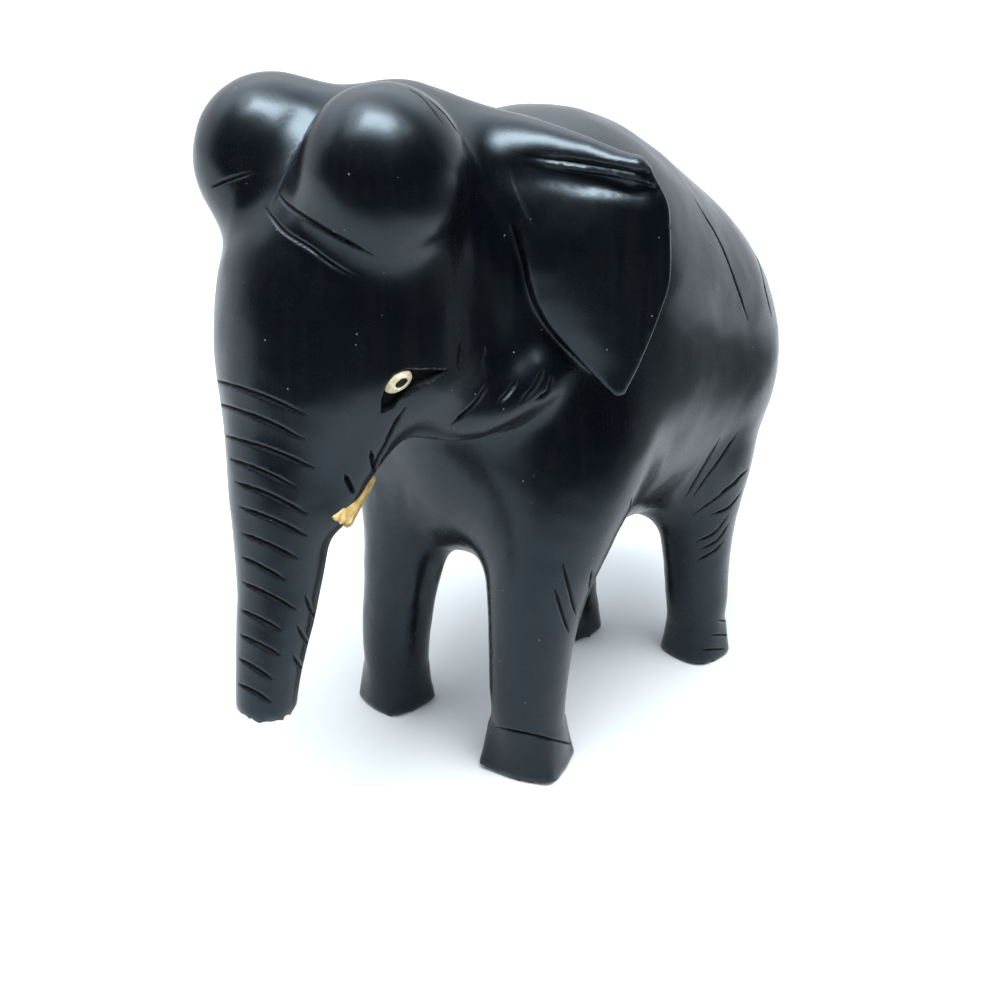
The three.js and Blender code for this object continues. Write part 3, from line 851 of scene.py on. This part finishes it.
REFINE_TURNS = (0.3, 0.3)
REFINE_RINGS = (0.9, 0.4)
SOCKET_RINGS = (0.9, 0.45)


def line_gap(p):
    """Distance of each point to the nearest carved line, and that line's width and depth there."""
    found = [cut_tree.find(q) for q in p]
    which = np.array([f[1] for f in found])
    return np.array([f[2] for f in found]), cut_sizes[which]


def outward_at(p):
    g = slope(p)
    return g / np.maximum(np.linalg.norm(g, axis=1), TINY)[:, None]


for turn, ring, socket_ring in zip(REFINE_TURNS, REFINE_RINGS, SOCKET_RINGS):
    points = coords_in(carving_bm)
    gap, sizes = line_gap(points)
    fine = gap - sizes[:, 0] < ring
    fine |= np.abs(socket_depth(points)) < socket_ring
    for tree, places, _, _ in ledges:
        fine |= np.abs(below_ledge(folded(points), tree, places)[0]) < ring
    fine |= on_trunk_break(points)
    out = outward_at(points)
    ends = np.array([[v.index for v in e.verts] for e in carving_bm.edges])
    bend = np.linalg.norm(out[ends[:, 0]] - out[ends[:, 1]], axis=1)
    on_skin = (follow_share(points) > 0)[ends].all(axis=1)
    wanted = fine[ends].any(axis=1) | ((bend > turn) & on_skin)
    edges = [e for e, chosen in zip(carving_bm.edges, wanted) if chosen]
    bmesh.ops.subdivide_edges(carving_bm, edges=edges, cuts=1, use_grid_fill=True)
    bmesh.ops.triangulate(carving_bm, faces=[f for f in carving_bm.faces if len(f.verts) > 4])
    carving_bm.verts.index_update()
    carving_bm.edges.index_update()
    relaxed(carving_bm)
points = coords_in(carving_bm)

# Hand work: low tool facets all over, soft hollows, the carved lines, the sockets and the broken trunk end

FACETS = ((7.0, 0.13), (3.1, 0.06))
SOFT_HOLLOWS = (
    (((470, 190), (463, 250), (459, 310), (458, 360)), 3.2, 0.22),
    (((300, 120), (270, 165), (250, 200)), 3.0, 0.2),
)
CUT_CURVE = 1.15
ROUGH_LEG = ((366, 452), (470, 640))
ROUGH_LEG_MARKS = 46
ROUGH_LEG_LONG = (10, 34)
ROUGH_LEG_LEAN = 3
ROUGH_LEG_FORCE = (0.4, 1.0)
ROUGH_LEG_INNER = -4
ROUGH_LEG_DEEP = 0.14
ROUGH_LEG_WIDE = 0.9
BREAK_ROUGH = 0.55
BREAK_LIFT = 0.5
BREAK_GRAIN = 1.1
NOTCH_AT = (288, 712)
NOTCH_ROUND = 0.9
NOTCH_HIGH = 1.1
SHARP_TURN = math.radians(55)
RANDOM = random.Random(41)

out_way = outward_at(points)
share = follow_share(points)
on_break = on_trunk_break(points)
sink = np.zeros(len(points))
for size, high in FACETS:
    sink += high * np.array([noise.noise(Vector(p / size)) for p in points])

for run, wide, deep in SOFT_HOLLOWS:
    tree = point_tree(even_samples(run_on_skin(run))[0])
    for side in (1, -1):
        near = np.array([tree.find(p * (side, 1, 1))[2] for p in points])
        sink += deep * (1 - smooth_rise(near, 0, wide))

marks = []
for _ in range(ROUGH_LEG_MARKS):
    x = RANDOM.uniform(ROUGH_LEG[0][0], ROUGH_LEG[1][0])
    y = RANDOM.uniform(ROUGH_LEG[0][1], ROUGH_LEG[1][1])
    long = RANDOM.uniform(*ROUGH_LEG_LONG)
    place, end = cast(x, y), cast(x + RANDOM.uniform(-ROUGH_LEG_LEAN, ROUGH_LEG_LEAN), y + long)
    if place is None or end is None or max(place[0], end[0]) > ROUGH_LEG_INNER:
        continue
    marks.append((place, end, RANDOM.uniform(*ROUGH_LEG_FORCE)))
for place, end, force in marks:
    near = near_segment(points, place, end)
    sink += ROUGH_LEG_DEEP * force * (1 - smooth_rise(near, 0, ROUGH_LEG_WIDE))

gap, sizes = line_gap(points)
cut = np.clip(1 - gap / sizes[:, 0], 0, 1)
sink += sizes[:, 1] * cut ** CUT_CURVE
ledge, ledge_wall = ledge_work(points, out_way)
sink += ledge
into_socket = socket_depth(points)
socket = smooth_rise(into_socket, 0, SOCKET_WALL)
socket_shade = smooth_rise(into_socket, -SOCKET_RIM, SOCKET_RIM)
sink += SOCKET_DEEP * socket
points = points - (share * sink)[:, None] * out_way

notch = cast(*NOTCH_AT)
rough = np.array([noise.noise(Vector(p * BREAK_GRAIN)) for p in points])
rise = BREAK_ROUGH * (BREAK_LIFT + rough)
if notch is not None:
    beside = np.hypot(points[:, 0] - notch[0], points[:, 1] - notch[1])
    rise += NOTCH_HIGH * (1 - smooth_rise(beside, 0, NOTCH_ROUND))
points[on_break, 2] += rise[on_break]

set_coords_in(carving_bm, to_frame(points))
bmesh.ops.recalc_face_normals(carving_bm, faces=carving_bm.faces)
carving = plain_mesh_object("carving", carving_bm)
carving_mesh = carving.data


def smooth_faces(mesh):
    mesh.polygons.foreach_set("use_smooth", np.ones(len(mesh.polygons), bool))


def keep_on_points(mesh, name, values):
    layer = mesh.attributes.new(name, "FLOAT", "POINT")
    layer.data.foreach_set("value", np.ascontiguousarray(values, dtype=np.float32))


WEAR_GAIN = 6
WEAR_FROM = 0.25


def edge_wear(mesh):
    """How far each point stands out from its neighbours."""
    p = coords_of(mesh)
    ends = np.empty(len(mesh.edges) * 2, dtype=np.int32)
    mesh.edges.foreach_get("vertices", ends)
    ends = ends.reshape(-1, 2)
    total, count, long = np.zeros_like(p), np.zeros(len(p)), np.zeros(len(p))
    reach = np.linalg.norm(p[ends[:, 0]] - p[ends[:, 1]], axis=1)
    for a, b in ((0, 1), (1, 0)):
        np.add.at(total, ends[:, a], p[ends[:, b]])
        np.add.at(count, ends[:, a], 1)
        np.add.at(long, ends[:, a], reach)
    normals = np.empty(len(p) * 3)
    mesh.vertices.foreach_get("normal", normals)
    stand = ((p - total / count[:, None]) * normals.reshape(-1, 3)).sum(axis=1)
    return np.clip(stand / (long / count) * WEAR_GAIN - WEAR_FROM, 0, 1)


smooth_faces(carving_mesh)
carving_mesh.set_sharp_from_angle(angle=SHARP_TURN)
# Painted shade: the carved lines, the eye sockets with a rim about them and the ear ledges' walls get a
# mask, kept under the name cut, by which the ebony is drawn darker and duller there to stand in for the
# shade in these hollows.
shade = np.maximum.reduce([cut * share, socket_shade, LEDGE_SHADE * ledge_wall])
keep_on_points(carving_mesh, "cut", shade)
keep_on_points(carving_mesh, "wear", edge_wear(carving_mesh))
keep_on_points(carving_mesh, "raw", on_break.astype(float))
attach(carving, "root")
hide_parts("elephant")

# Turned pieces, set on their own axes

TURNED_MERGE = 1e-5


def turned(profile, turns):
    """A closed body turned about the upright axis from radii and heights."""
    bm = bmesh.new()
    line = [bm.verts.new((r, 0, h)) for r, h in profile]
    edges = [bm.edges.new(pair) for pair in zip(line, line[1:])]
    about = {"cent": (0, 0, 0), "axis": (0, 0, 1), "angle": math.tau}
    bmesh.ops.spin(bm, geom=line + edges, steps=turns, use_merge=True, **about)
    bmesh.ops.remove_doubles(bm, verts=bm.verts, dist=TURNED_MERGE)
    return bm


def set_in_place(bm, name, side, level, up, out, place):
    """Sets a turned body on its axes, in millimetres, and makes it a smooth piece of the frame."""
    axes = Matrix([[level[i], up[i], out[i], place[i]] for i in range(3)] + [[0, 0, 0, 1]])
    bmesh.ops.transform(bm, matrix=axes, verts=bm.verts)
    bmesh.ops.scale(bm, vec=(side, 1, 1), verts=bm.verts)
    set_coords_in(bm, to_frame(coords_in(bm)))
    bmesh.ops.recalc_face_normals(bm, faces=bm.faces)
    piece = plain_mesh_object(name, bm)
    smooth_faces(piece.data)
    return piece


# The eyes: bone ovals with a drilled pupil a little behind the middle

EYE_HALF = (2.3, 1.35)
EYE_PROFILE = (
    (0, -1.6), (0.8, -1.5), (1.0, -0.8), (1.0, -0.45), (0.95, -0.12), (0.84, 0.14), (0.68, 0.33),
    (0.54, 0.42), (0.46, 0.4), (0.41, 0.22), (0.38, -0.1), (0.2, -0.18), (0, -0.16),
)
EYE_TURNS = 48
PUPIL_SHARE = 0.5
PUPIL_BACK = 0.22
PUPIL_UNEVEN = 0.12
PIT_SHARE = 0.86
EYE_BACK = -0.5
EYE_UNEVEN = 0.05
EYE_GRAIN = 2.2
EYE_SEED = 3.0


def make_eye(name, side):
    bm = turned(EYE_PROFILE, EYE_TURNS)
    pits = []
    for v in bm.verts:
        r = math.hypot(v.co.x, v.co.y)
        inner = r < PUPIL_SHARE and v.co.z > EYE_BACK
        pits.append(1.0 if r < PUPIL_SHARE * PIT_SHARE and v.co.z > EYE_BACK else 0.0)
        uneven = noise.noise(Vector((v.co.x * EYE_GRAIN, v.co.y * EYE_GRAIN, side * EYE_SEED)))
        if inner:
            v.co.x += PUPIL_BACK / EYE_HALF[0] + PUPIL_UNEVEN * uneven * r
            v.co.y += PUPIL_UNEVEN * uneven * r
        v.co.z += EYE_UNEVEN * uneven
    bmesh.ops.scale(bm, vec=(EYE_HALF[0], EYE_HALF[1], 1), verts=bm.verts)
    eye = set_in_place(bm, name, side, eye_level, eye_up, eye_out, eye_spot)
    keep_on_points(eye.data, "pit", pits)
    return eye


# The tusk stubs: fibrous bone, broken off unevenly

STUB_TURNS = 48
STUB_RINGS = 18
STUB_CAP = (0.82, 0.6, 0.38, 0.18)
STUB_RADII = (1.6, 2.3)
STUB_FLAT = 0.84
STUB_FIBRES = 3.2
STUB_FIBRE_DEEP = 0.16
STUB_FIBRE_LONG = 0.12
STUB_FIBRE_SEED = 5
FINE_FIBRES = 2.3
FINE_FIBRE_SHARE = 0.5
STUB_SPLINTER = 1.1
STUB_SPLINTER_FROM = 0.62
STUB_SPLINTER_GRAIN = 1.4
STUB_SPLINTER_SEED = 9.0
STUB_SPLINTER_BACK = 0.4
STUB_SLANT = 0.32
STUB_SHARP_TURN = math.radians(50)


def make_stub(name, side):
    root, end = np.array(STUB_ROOT, float), np.array(STUB_END, float)
    long = np.linalg.norm(end - root)
    along = (end - root) / long
    level = np.cross(along, (1, 0, 0))
    level /= np.linalg.norm(level)
    profile = [(0, 0)]
    for i in range(STUB_RINGS + 1):
        share = i / STUB_RINGS
        profile.append((STUB_RADII[0] + (STUB_RADII[1] - STUB_RADII[0]) * share, long * share))
    profile += [(STUB_RADII[1] * share, long) for share in STUB_CAP] + [(0, long)]
    bm = turned(profile, STUB_TURNS)
    fibres = []
    for v in bm.verts:
        around = Vector((v.co.x, v.co.y, 0)).normalized() * STUB_FIBRES
        way = Vector((around.x, around.y, v.co.z * STUB_FIBRE_LONG + side * STUB_FIBRE_SEED))
        fibre = noise.noise(way) + FINE_FIBRE_SHARE * noise.noise(way * FINE_FIBRES)
        torn = float(smooth_rise(v.co.z / long, STUB_SPLINTER_FROM, 1.0))
        spot = Vector((v.co.x, v.co.y, 0)) * STUB_SPLINTER_GRAIN
        splinter = noise.noise(spot + Vector((0, 0, side * STUB_SPLINTER_SEED)))
        v.co.x *= 1 + STUB_FIBRE_DEEP * fibre
        v.co.y *= (1 + STUB_FIBRE_DEEP * fibre) * STUB_FLAT
        v.co.z += torn * (STUB_SPLINTER * splinter + STUB_SLANT * v.co.x - STUB_SPLINTER_BACK)
        fibres.append(0.5 + 0.5 * fibre)
    stub = set_in_place(bm, name, side, level, np.cross(along, level), along, root)
    stub.data.set_sharp_from_angle(angle=STUB_SHARP_TURN)
    keep_on_points(stub.data, "fibre", fibres)
    return stub


eyes = [make_eye("bone_eye_" + word, side) for word, side in SIDES]
stubs = [make_stub("tusk_break_" + word, side) for word, side in SIDES]
for (word, _), eye, stub in zip(SIDES, eyes, stubs):
    for piece, node, slot in ((eye, "eye_", "eye_bone"), (stub, "tusk_stub_", "tusk_bone")):
        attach(piece, "root")
        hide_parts(node + word)


# Materials

class Wire:
    """A node socket that does arithmetic and adds further nodes to its tree."""

    def __init__(self, tree, socket=None):
        self.tree = tree
        self.socket = socket

    def node(self, kind, sockets=None, out=0, **settings):
        made = self.tree.nodes.new(kind)
        for name, value in settings.items():
            setattr(made, name, value)
        for name, value in (sockets or {}).items():
            if isinstance(value, Wire):
                self.tree.links.new(value.socket, made.inputs[name])
            else:
                made.inputs[name].default_value = value
        return Wire(self.tree, made.outputs[out])

    def maths(self, operation, a, b):
        return self.node("ShaderNodeMath", {0: a, 1: b}, operation=operation)

    def __add__(self, other):
        return self.maths("ADD", self, other)

    def __radd__(self, other):
        return self.maths("ADD", other, self)

    def __sub__(self, other):
        return self.maths("SUBTRACT", self, other)

    def __mul__(self, other):
        return self.maths("MULTIPLY", self, other)

    def between(self, low, high, to_low=0.0, to_high=1.0):
        """A smooth run from one value to another while this one goes from low to high."""
        sockets = {"Value": self, "From Min": low, "From Max": high, "To Min": to_low, "To Max": to_high}
        return self.node("ShaderNodeMapRange", sockets, interpolation_type="SMOOTHSTEP")

    def along(self, vector, axis):
        """How far a vector reaches along an axis."""
        return self.node("ShaderNodeVectorMath", {0: vector, 1: axis}, out="Value", operation="DOT_PRODUCT")

    def colours(self, low, high):
        """A colour between two others by this factor."""
        return self.node("ShaderNodeMix", {0: self, 6: low, 7: high}, out=2, data_type="RGBA")


def new_material(name):
    material = bpy.data.materials.new(name)
    material.use_nodes = True
    start = Wire(material.node_tree)
    place = start.node("ShaderNodeTexCoord", out="Object")
    return material, material.node_tree.nodes["Principled BSDF"], start, place


def put(shader, name, value):
    if isinstance(value, Wire):
        value.tree.links.new(value.socket, shader.inputs[name])
    else:
        shader.inputs[name].default_value = value


def stretched(start, place, along):
    """Coordinates squeezed along some axes, so that a texture on them runs in streaks."""
    return start.node("ShaderNodeMapping", {"Vector": place, "Scale": along})


def noise_of(start, vector, scale, detail=3.0, rough=0.5):
    sockets = {"Vector": vector, "Scale": scale, "Detail": detail, "Roughness": rough}
    return start.node("ShaderNodeTexNoise", sockets, out="Fac")


def attribute(start, name):
    return start.node("ShaderNodeAttribute", out="Fac", attribute_name=name)


# The plain ebony: the wood's own near-black, with a blue cast painted in for the cool light.
EBONY = (0.0004, 0.0008, 0.0019, 1)
EBONY_STREAK = (0.002, 0.0019, 0.0022, 1)
# Painted shade: the next two colours darken the ebony in the carved lines, the sockets and on the ledge
# walls.
PAINTED_GROOVE_SHADE = (0.0004, 0.0004, 0.0006, 1)
PAINTED_SHADE_MATTE_EBONY = (0.0006, 0.0006, 0.0008, 1)
WORN_EBONY = (0.02, 0.022, 0.027, 1)
RAW_EBONY = (0.02, 0.017, 0.015, 1)
DUST = (0.3, 0.31, 0.32, 1)
SPECK = (0.45, 0.47, 0.48, 1)
# A bluish tint painted into the reflections for the cool light
COOL_LIGHT_REFLECTION_TINT = (0.7, 0.87, 1.0, 1)
EBONY_GRAIN = (1.0, 1.0, 0.09)


def ebony_material():
    material, shader, start, place = new_material("ebony")
    grain_place = stretched(start, place, EBONY_GRAIN)
    streaks = noise_of(start, grain_place, 420, 5, 0.6)
    pores = noise_of(start, grain_place, 2600, 2, 0.6)
    clouds = noise_of(start, place, 55, 3, 0.55)
    handling = noise_of(start, place, 170, 3, 0.6)
    speck_cells = {"Vector": place, "Scale": 620.0}
    speck_gap = start.node("ShaderNodeTexVoronoi", speck_cells, out="Distance")
    speck_pick = start.node("ShaderNodeTexVoronoi", speck_cells, out="Color")
    pick = start.node("ShaderNodeSeparateColor", {"Color": speck_pick}, out=0)
    specks = speck_gap.between(0.04, 0.11, 1.0, 0.0) * pick.between(0.9, 0.92)
    fine_gap = start.node("ShaderNodeTexVoronoi", {"Vector": place, "Scale": 2100.0}, out="Distance")
    dust = fine_gap.between(0.1, 0.3, 1.0, 0.0) * handling.between(0.45, 0.75)
    cut = attribute(start, "cut")
    wear = attribute(start, "wear")
    raw = attribute(start, "raw")
    wood = streaks.between(0.42, 0.74).colours(EBONY, EBONY_STREAK)
    # Painted shade: a darker ebony colour inside the carved lines, the sockets and on the ledge walls stands
    # in for their shade.
    wood = cut.between(0.05, 0.6).colours(wood, PAINTED_GROOVE_SHADE)
    wood = (wear * 0.5).colours(wood, WORN_EBONY)
    wood = raw.colours(wood, RAW_EBONY)
    wood = (dust * 0.02).colours(wood, DUST)
    wood = (specks * 0.2).colours(wood, SPECK)
    put(shader, "Base Color", wood)
    rough = 0.19 + clouds * 0.1 + handling * 0.06 + dust * 0.08 + cut * 0.25 + raw * 0.4 + specks * 0.3
    put(shader, "Roughness", rough)
    put(shader, "IOR", 1.43)
    # Painted reflection colour: a bluish tint on every reflection stands in for the cool light.
    put(shader, "Specular Tint", COOL_LIGHT_REFLECTION_TINT)
    height = pores * 0.5 + streaks * 0.3 + specks * 0.4
    bump = start.node("ShaderNodeBump", {"Height": height, "Strength": 0.22, "Distance": 0.00008})
    put(shader, "Normal", bump)
    polished = Wire(material.node_tree, shader.outputs["BSDF"])
    # Painted shade: in the same hollows the polish gives way to a dark, dull ebony with little shine, to
    # stand in for their shade.
    painted_shade_look = {"Base Color": PAINTED_SHADE_MATTE_EBONY, "Roughness": 0.7, "Specular IOR Level": 0.1}
    painted_shade_matte = start.node("ShaderNodeBsdfPrincipled", painted_shade_look)
    mixed = start.node("ShaderNodeMixShader", {0: cut.between(0.1, 0.75) * 0.9, 1: polished, 2: painted_shade_matte})
    put(material.node_tree.nodes["Material Output"], "Surface", mixed)
    return material


EYE_BONE = (0.38, 0.345, 0.25, 1)
EYE_BONE_STAIN = (0.19, 0.145, 0.075, 1)
EYE_BONE_LINE = (0.32, 0.22, 0.1, 1)
PUPIL = (0.02, 0.014, 0.009, 1)
EYE_BONE_GRAIN = (1.0, 0.25, 1.0)


def bone_material():
    material, shader, start, place = new_material("eye_bone")
    mottle = noise_of(start, place, 900, 4, 0.6)
    lines = noise_of(start, stretched(start, place, EYE_BONE_GRAIN), 3200, 2, 0.5)
    pit = attribute(start, "pit")
    bone = mottle.between(0.35, 0.7).colours(EYE_BONE, EYE_BONE_STAIN)
    bone = (lines.between(0.55, 0.75) * 0.5).colours(bone, EYE_BONE_LINE)
    bone = (pit + mottle * 0.4 - 0.2).between(0.2, 0.75).colours(bone, PUPIL)
    put(shader, "Base Color", bone)
    put(shader, "Roughness", 0.38 + mottle * 0.2 + pit * 0.2)
    bump = start.node("ShaderNodeBump", {"Height": lines, "Strength": 0.2, "Distance": 0.00005})
    put(shader, "Normal", bump)
    return material


TUSK_BONE = (0.38, 0.265, 0.09, 1)
TUSK_BONE_STAIN = (0.22, 0.13, 0.034, 1)
TUSK_FIBRE = (0.46, 0.37, 0.19, 1)
TUSK_LINE = (0.16, 0.085, 0.025, 1)
TUSK_GRAIN = (1.0, 0.3, 0.3)


def tusk_material():
    material, shader, start, place = new_material("tusk_bone")
    mottle = noise_of(start, place, 650, 4, 0.6)
    lines = noise_of(start, stretched(start, place, TUSK_GRAIN), 2400, 3, 0.6)
    fibre = attribute(start, "fibre")
    bone = mottle.between(0.35, 0.68).colours(TUSK_BONE, TUSK_BONE_STAIN)
    bone = fibre.between(0.5, 0.85).colours(bone, TUSK_FIBRE)
    bone = (lines.between(0.56, 0.72) * 0.7).colours(bone, TUSK_LINE)
    put(shader, "Base Color", bone)
    put(shader, "Roughness", 0.5 + mottle * 0.25)
    bump = start.node("ShaderNodeBump", {"Height": lines, "Strength": 0.35, "Distance": 0.00008})
    put(shader, "Normal", bump)
    return material


def dress(piece, material):
    piece.data.materials.clear()
    piece.data.materials.append(material)


dress(carving, ebony_material())
eye_bone, tusk_bone = bone_material(), tusk_material()
for eye in eyes:
    dress(eye, eye_bone)
for stub in stubs:
    dress(stub, tusk_bone)

# Floor, room and lights, in metres; the dark cards stand for the unlit part of the room

FLOOR_HALF = 4.0
CARD_RISE = 0.0004
ROOM_CARD_ROUNDS = 4
PAPER = (0.39, 0.4, 0.402, 1)
PAPER_FIBRE = (0.28, 0.288, 0.292, 1)
NO_GLOW = (0, 0, 0, 1)
FAR_GLOW = (0.6, 0.61, 0.62, 1)
GLOW_RISE = (0.3, 1.2)
CARD_BLACK = (0.004, 0.004, 0.005, 1)
ROOM_BRIGHT = (1.12, 1.2, 1.28, 1)
CEILING_BRIGHT = (2.6, 2.8, 3.0, 1)
LIGHT_COLOUR = (0.95, 0.985, 1.0)
SOFT_BOXES = (
    ("overhead", (0.2, -0.17, 0.95), 22, 0.68, 0.34, 17),
    ("overhead_spread", (0.2, -0.17, 1.0), 22, 1.25, 0.7, 12),
)
CAMERA_CLIP = 0.01
TO_DARK = (0.8, -0.6, 0.0)
TO_RIGHT = (0.934, 0.358, 0.0)
TO_BACK = (-0.358, 0.934, 0.0)


def floor_material():
    material, shader, start, place = new_material("white_paper")
    fibres = noise_of(start, place, 600, 3, 0.6)
    put(shader, "Base Color", (fibres * 0.06).colours(PAPER, PAPER_FIBRE))
    put(shader, "Roughness", 0.9)
    put(shader, "Specular IOR Level", 0.1)
    # Painted light: the paper glows more and more from 0.3 m to 1.2 m out from the middle of the floor,
    # standing in for light on the far floor.
    far = start.node("ShaderNodeVectorMath", {0: place}, out="Value", operation="LENGTH")
    put(shader, "Emission Color", far.between(*GLOW_RISE).colours(NO_GLOW, FAR_GLOW))
    put(shader, "Emission Strength", 1.0)
    return material


def card_material(name):
    material, shader, start, place = new_material(name)
    put(shader, "Base Color", CARD_BLACK)
    put(shader, "Roughness", 1.0)
    put(shader, "Specular IOR Level", 0.0)
    return material, shader, start, place


def floor_card_material():
    """Dark before the animal and beside it, past the edges of the picture."""
    material, shader, start, place = card_material("dark_floor_card")
    before = start.along(place, TO_DARK).between(0.1, 0.21)
    beside = start.along(place, TO_RIGHT).between(0.095, 0.15)
    beside = beside * start.along(place, TO_BACK).between(0.2, 0.5, 1.0, 0.0) * 0.85
    put(shader, "Alpha", (before + beside - before * beside) * 0.94)
    return material


def room_card_material():
    """Dark on the side that the animal's left cheek looks at."""
    material, shader, start, place = card_material("dark_room_card")
    way = start.node("ShaderNodeVectorMath", {0: place}, operation="NORMALIZE")
    put(shader, "Alpha", start.along(way, TO_DARK).between(-0.4, 0.1) * 0.97)
    return material


def floor_sheet(name, rise, material):
    bm = bmesh.new()
    bmesh.ops.create_grid(bm, x_segments=1, y_segments=1, size=FLOOR_HALF)
    bmesh.ops.translate(bm, vec=(0, 0, rise), verts=bm.verts)
    sheet = plain_mesh_object(name, bm)
    dress(sheet, material)
    return sheet


def room_shell(name, material):
    bm = bmesh.new()
    bmesh.ops.create_icosphere(bm, subdivisions=ROOM_CARD_ROUNDS, radius=FLOOR_HALF)
    shell = plain_mesh_object(name, bm)
    dress(shell, material)
    return shell


def only_in_the_polish(card):
    """Lets a card be seen in reflections and nowhere else."""
    card.visible_camera = False
    card.visible_diffuse = False
    card.visible_shadow = False
    card.visible_transmission = False


floor = floor_sheet("floor", 0, floor_material())
only_in_the_polish(floor_sheet("floor_card", CARD_RISE, floor_card_material()))
only_in_the_polish(room_shell("room_card", room_card_material()))

world = bpy.data.worlds.new("room")
bpy.context.scene.world = world
world.use_nodes = True
background = world.node_tree.nodes["Background"]
sky = Wire(world.node_tree)
way = sky.node("ShaderNodeTexCoord", out="Generated")
up = sky.node("ShaderNodeSeparateXYZ", {"Vector": way}, out="Z")
put(background, "Color", up.between(0.4, 0.75).colours(ROOM_BRIGHT, CEILING_BRIGHT))
put(background, "Strength", 1.0)


def soft_light(name, place, turn, width, depth, watts):
    """A soft box of light that faces straight down, turned about the vertical by so many degrees."""
    data = bpy.data.lights.new(name, "AREA")
    data.shape = "RECTANGLE"
    data.size = width
    data.size_y = depth
    data.energy = watts
    data.color = LIGHT_COLOUR
    light = bpy.data.objects.new(name, data)
    light.location = place
    light.rotation_euler = (0, 0, math.radians(turn))
    bpy.context.scene.collection.objects.link(light)


for soft_box in SOFT_BOXES:
    soft_light(*soft_box)

camera_data = bpy.data.cameras.new("camera")
camera_data.sensor_width = SENSOR
camera_data.lens = SENSOR * CAMERA_REACH / PICTURE
camera_data.clip_start = CAMERA_CLIP
camera = bpy.data.objects.new("camera", camera_data)
camera.location = to_frame(CAMERA_PLACE)
camera.rotation_mode = "QUATERNION"
camera.rotation_quaternion = Vector(AHEAD).to_track_quat("-Z", "Y")
bpy.context.scene.collection.objects.link(camera)
bpy.context.scene.camera = camera
bpy.context.scene.view_settings.view_transform = "Standard"
